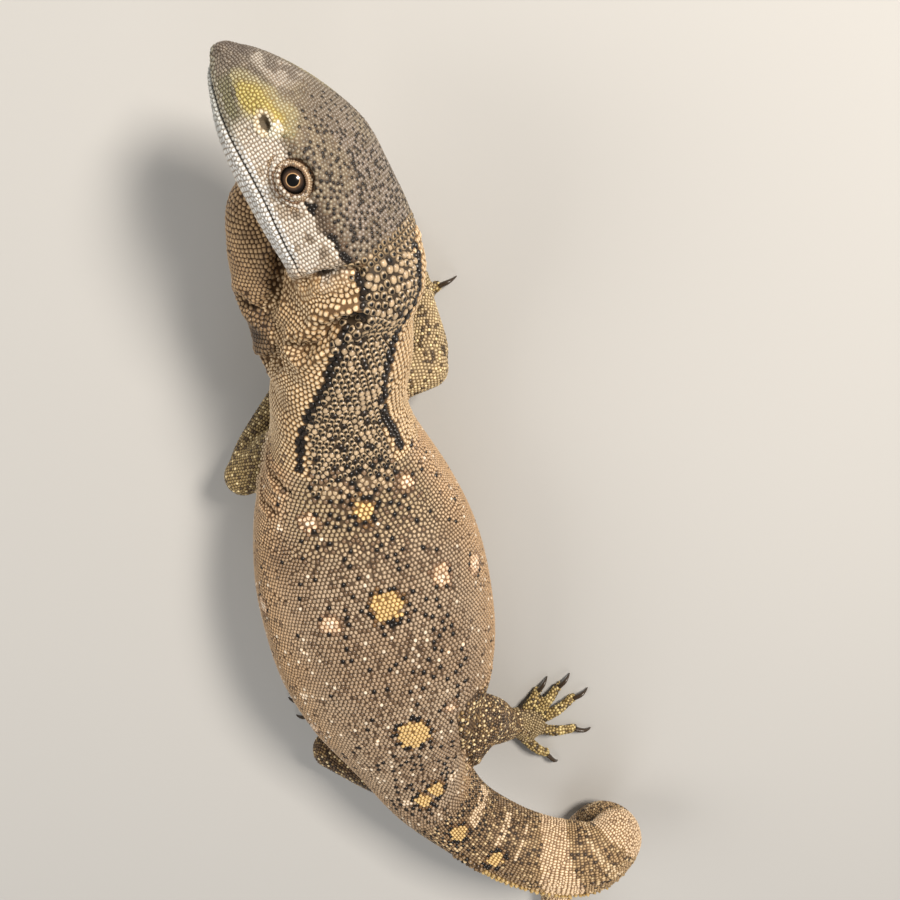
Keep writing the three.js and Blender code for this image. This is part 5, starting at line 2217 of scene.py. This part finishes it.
@dataclass(frozen=True)
class PaleFloor(Finish):
    """A matt pale board: even, without shine, with a faint cloud in it."""

    name: str = "pale_board"
    colour: str = "b4b3b1"
    spots_in_metre: float = 3.0

    def feed(self, tree: bpy.types.NodeTree) -> dict[str, object]:
        """Mixes the board's colour with one a little darker."""
        pale = linear(self.colour)
        return {"Base_Color": self.mottled(tree, self.spots_in_metre, pale, pale * 0.96), "Roughness": 0.9}


def enter(piece: bpy.types.Object, slot: str, material: bpy.types.Material, *nodes: str) -> None:
    """Finishes a piece of the model.

    Args:
        piece: The object.
        slot: The name of a material slot; not used.
        material: Its material.
        nodes: The solids that it stands for.
    """
    piece.data.materials.append(material)
    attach(piece, "root")
    if nodes:
        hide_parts(*nodes)
    log.info("%s: %d faces", piece.name, len(piece.data.polygons))


@dataclass(frozen=True)
class Lamp:
    """A soft square lamp that faces a point of the model."""

    name: str
    place: tuple[float, float, float]
    size: float
    power: float
    colour: str = "ffffff"
    target: tuple[float, float, float] = (0.0, 0.0, 0.03)
    seen_in_gloss: bool = True

    def build(self) -> None:
        """Hangs the lamp and turns it to its point."""
        light = bpy.data.lights.new(self.name, "AREA")
        light.size = self.size
        light.energy = self.power
        light.color = linear(self.colour)
        lamp = bpy.data.objects.new(self.name, light)
        lamp.location = self.place
        away = np.array(self.place) - np.array(self.target)
        azimuth = math.atan2(away[1], away[0])
        tilt = math.atan2(math.hypot(away[0], away[1]), away[2])
        lamp.rotation_euler = (0, tilt, azimuth)
        lamp.visible_glossy = self.seen_in_gloss
        bpy.context.scene.collection.objects.link(lamp)


@dataclass(frozen=True)
class Studio:
    """The floor, the lamps and the camera at the photograph's angle."""

    camera_place: tuple[float, float, float] = (0.0003, 0.2442, 0.3438)
    camera_tilt: float = -25.0
    lens: float = 46.0
    floor_half: float = 3.0

    def build(self) -> None:
        """Sets up all of it."""
        scene = bpy.context.scene
        camera = bpy.data.objects.new("camera", bpy.data.cameras.new("camera"))
        camera.data.lens = self.lens
        camera.data.sensor_width = 36
        camera.data.clip_start = 0.01
        camera.location = self.camera_place
        camera.rotation_euler = (math.radians(self.camera_tilt), 0, 0)
        scene.collection.objects.link(camera)
        scene.camera = camera
        half = self.floor_half
        corners = np.array([(-half, -half, 0), (half, -half, 0), (half, half, 0), (-half, half, 0)])
        floor = mesh_object("floor", corners / MM, [[0, 1, 2, 3]])
        floor.data.materials.append(PaleFloor().build())
        for lamp in (
            Lamp("key", (0.4, 0.6, 0.72), 0.22, 13.6, "fff6ea"),
            Lamp("fill", (-0.7, 0.1, 0.6), 0.6, 4.2, "fffaf2", seen_in_gloss=False),
            Lamp("rim", (0.1, -0.8, 0.5), 0.5, 2.6, seen_in_gloss=False),
        ):
            lamp.build()
        world = bpy.data.worlds.new("soft_room")
        world.use_nodes = True
        world.node_tree.nodes["Background"].inputs["Color"].default_value = (*linear("e6e6e6"), 1.0)
        world.node_tree.nodes["Background"].inputs["Strength"].default_value = 0.3
        scene.world = world
        scene.view_settings.view_transform = "Standard"


def flesh_nodes() -> list[str]:
    """Names the solids that the skin stands for."""
    tail = [f"tail_{k}" for k in range(1, 6)]
    limbs = [f"{limb.name}_{part}" for limb in LIMBS for part in limb.nodes]
    return ["head", "lower_jaw", "neck", "chest", "belly", "pelvis", *tail, *limbs]


def main() -> None:
    """Builds the lizard, its coat and the studio in order."""
    logging.basicConfig(level=logging.INFO, format="%(name)s: %(message)s")
    Studio().build()
    body = Body()
    head = Head(body)
    seats = (EyeSeat(head, -1), EyeSeat(head, 1))
    skin = Skin(body, head, seats)
    skin.fuse()
    skin.sculpt()
    enter(skin.made, "hide", Hide("bare_skin", 0.7, 0.25, 0.08).build(), *flesh_nodes())
    Coat(body, head, seats, skin).build(Hide("scaled_hide", 0.36).build())
    cornea = Cornea().build()
    for seat, side in zip(seats, ("left", "right")):
        Eyeball(seat, side).build(cornea)
    horn = Horn().build()
    for limb in LIMBS:
        Claws(limb).build(horn)


if __name__ == "__main__":
    main()
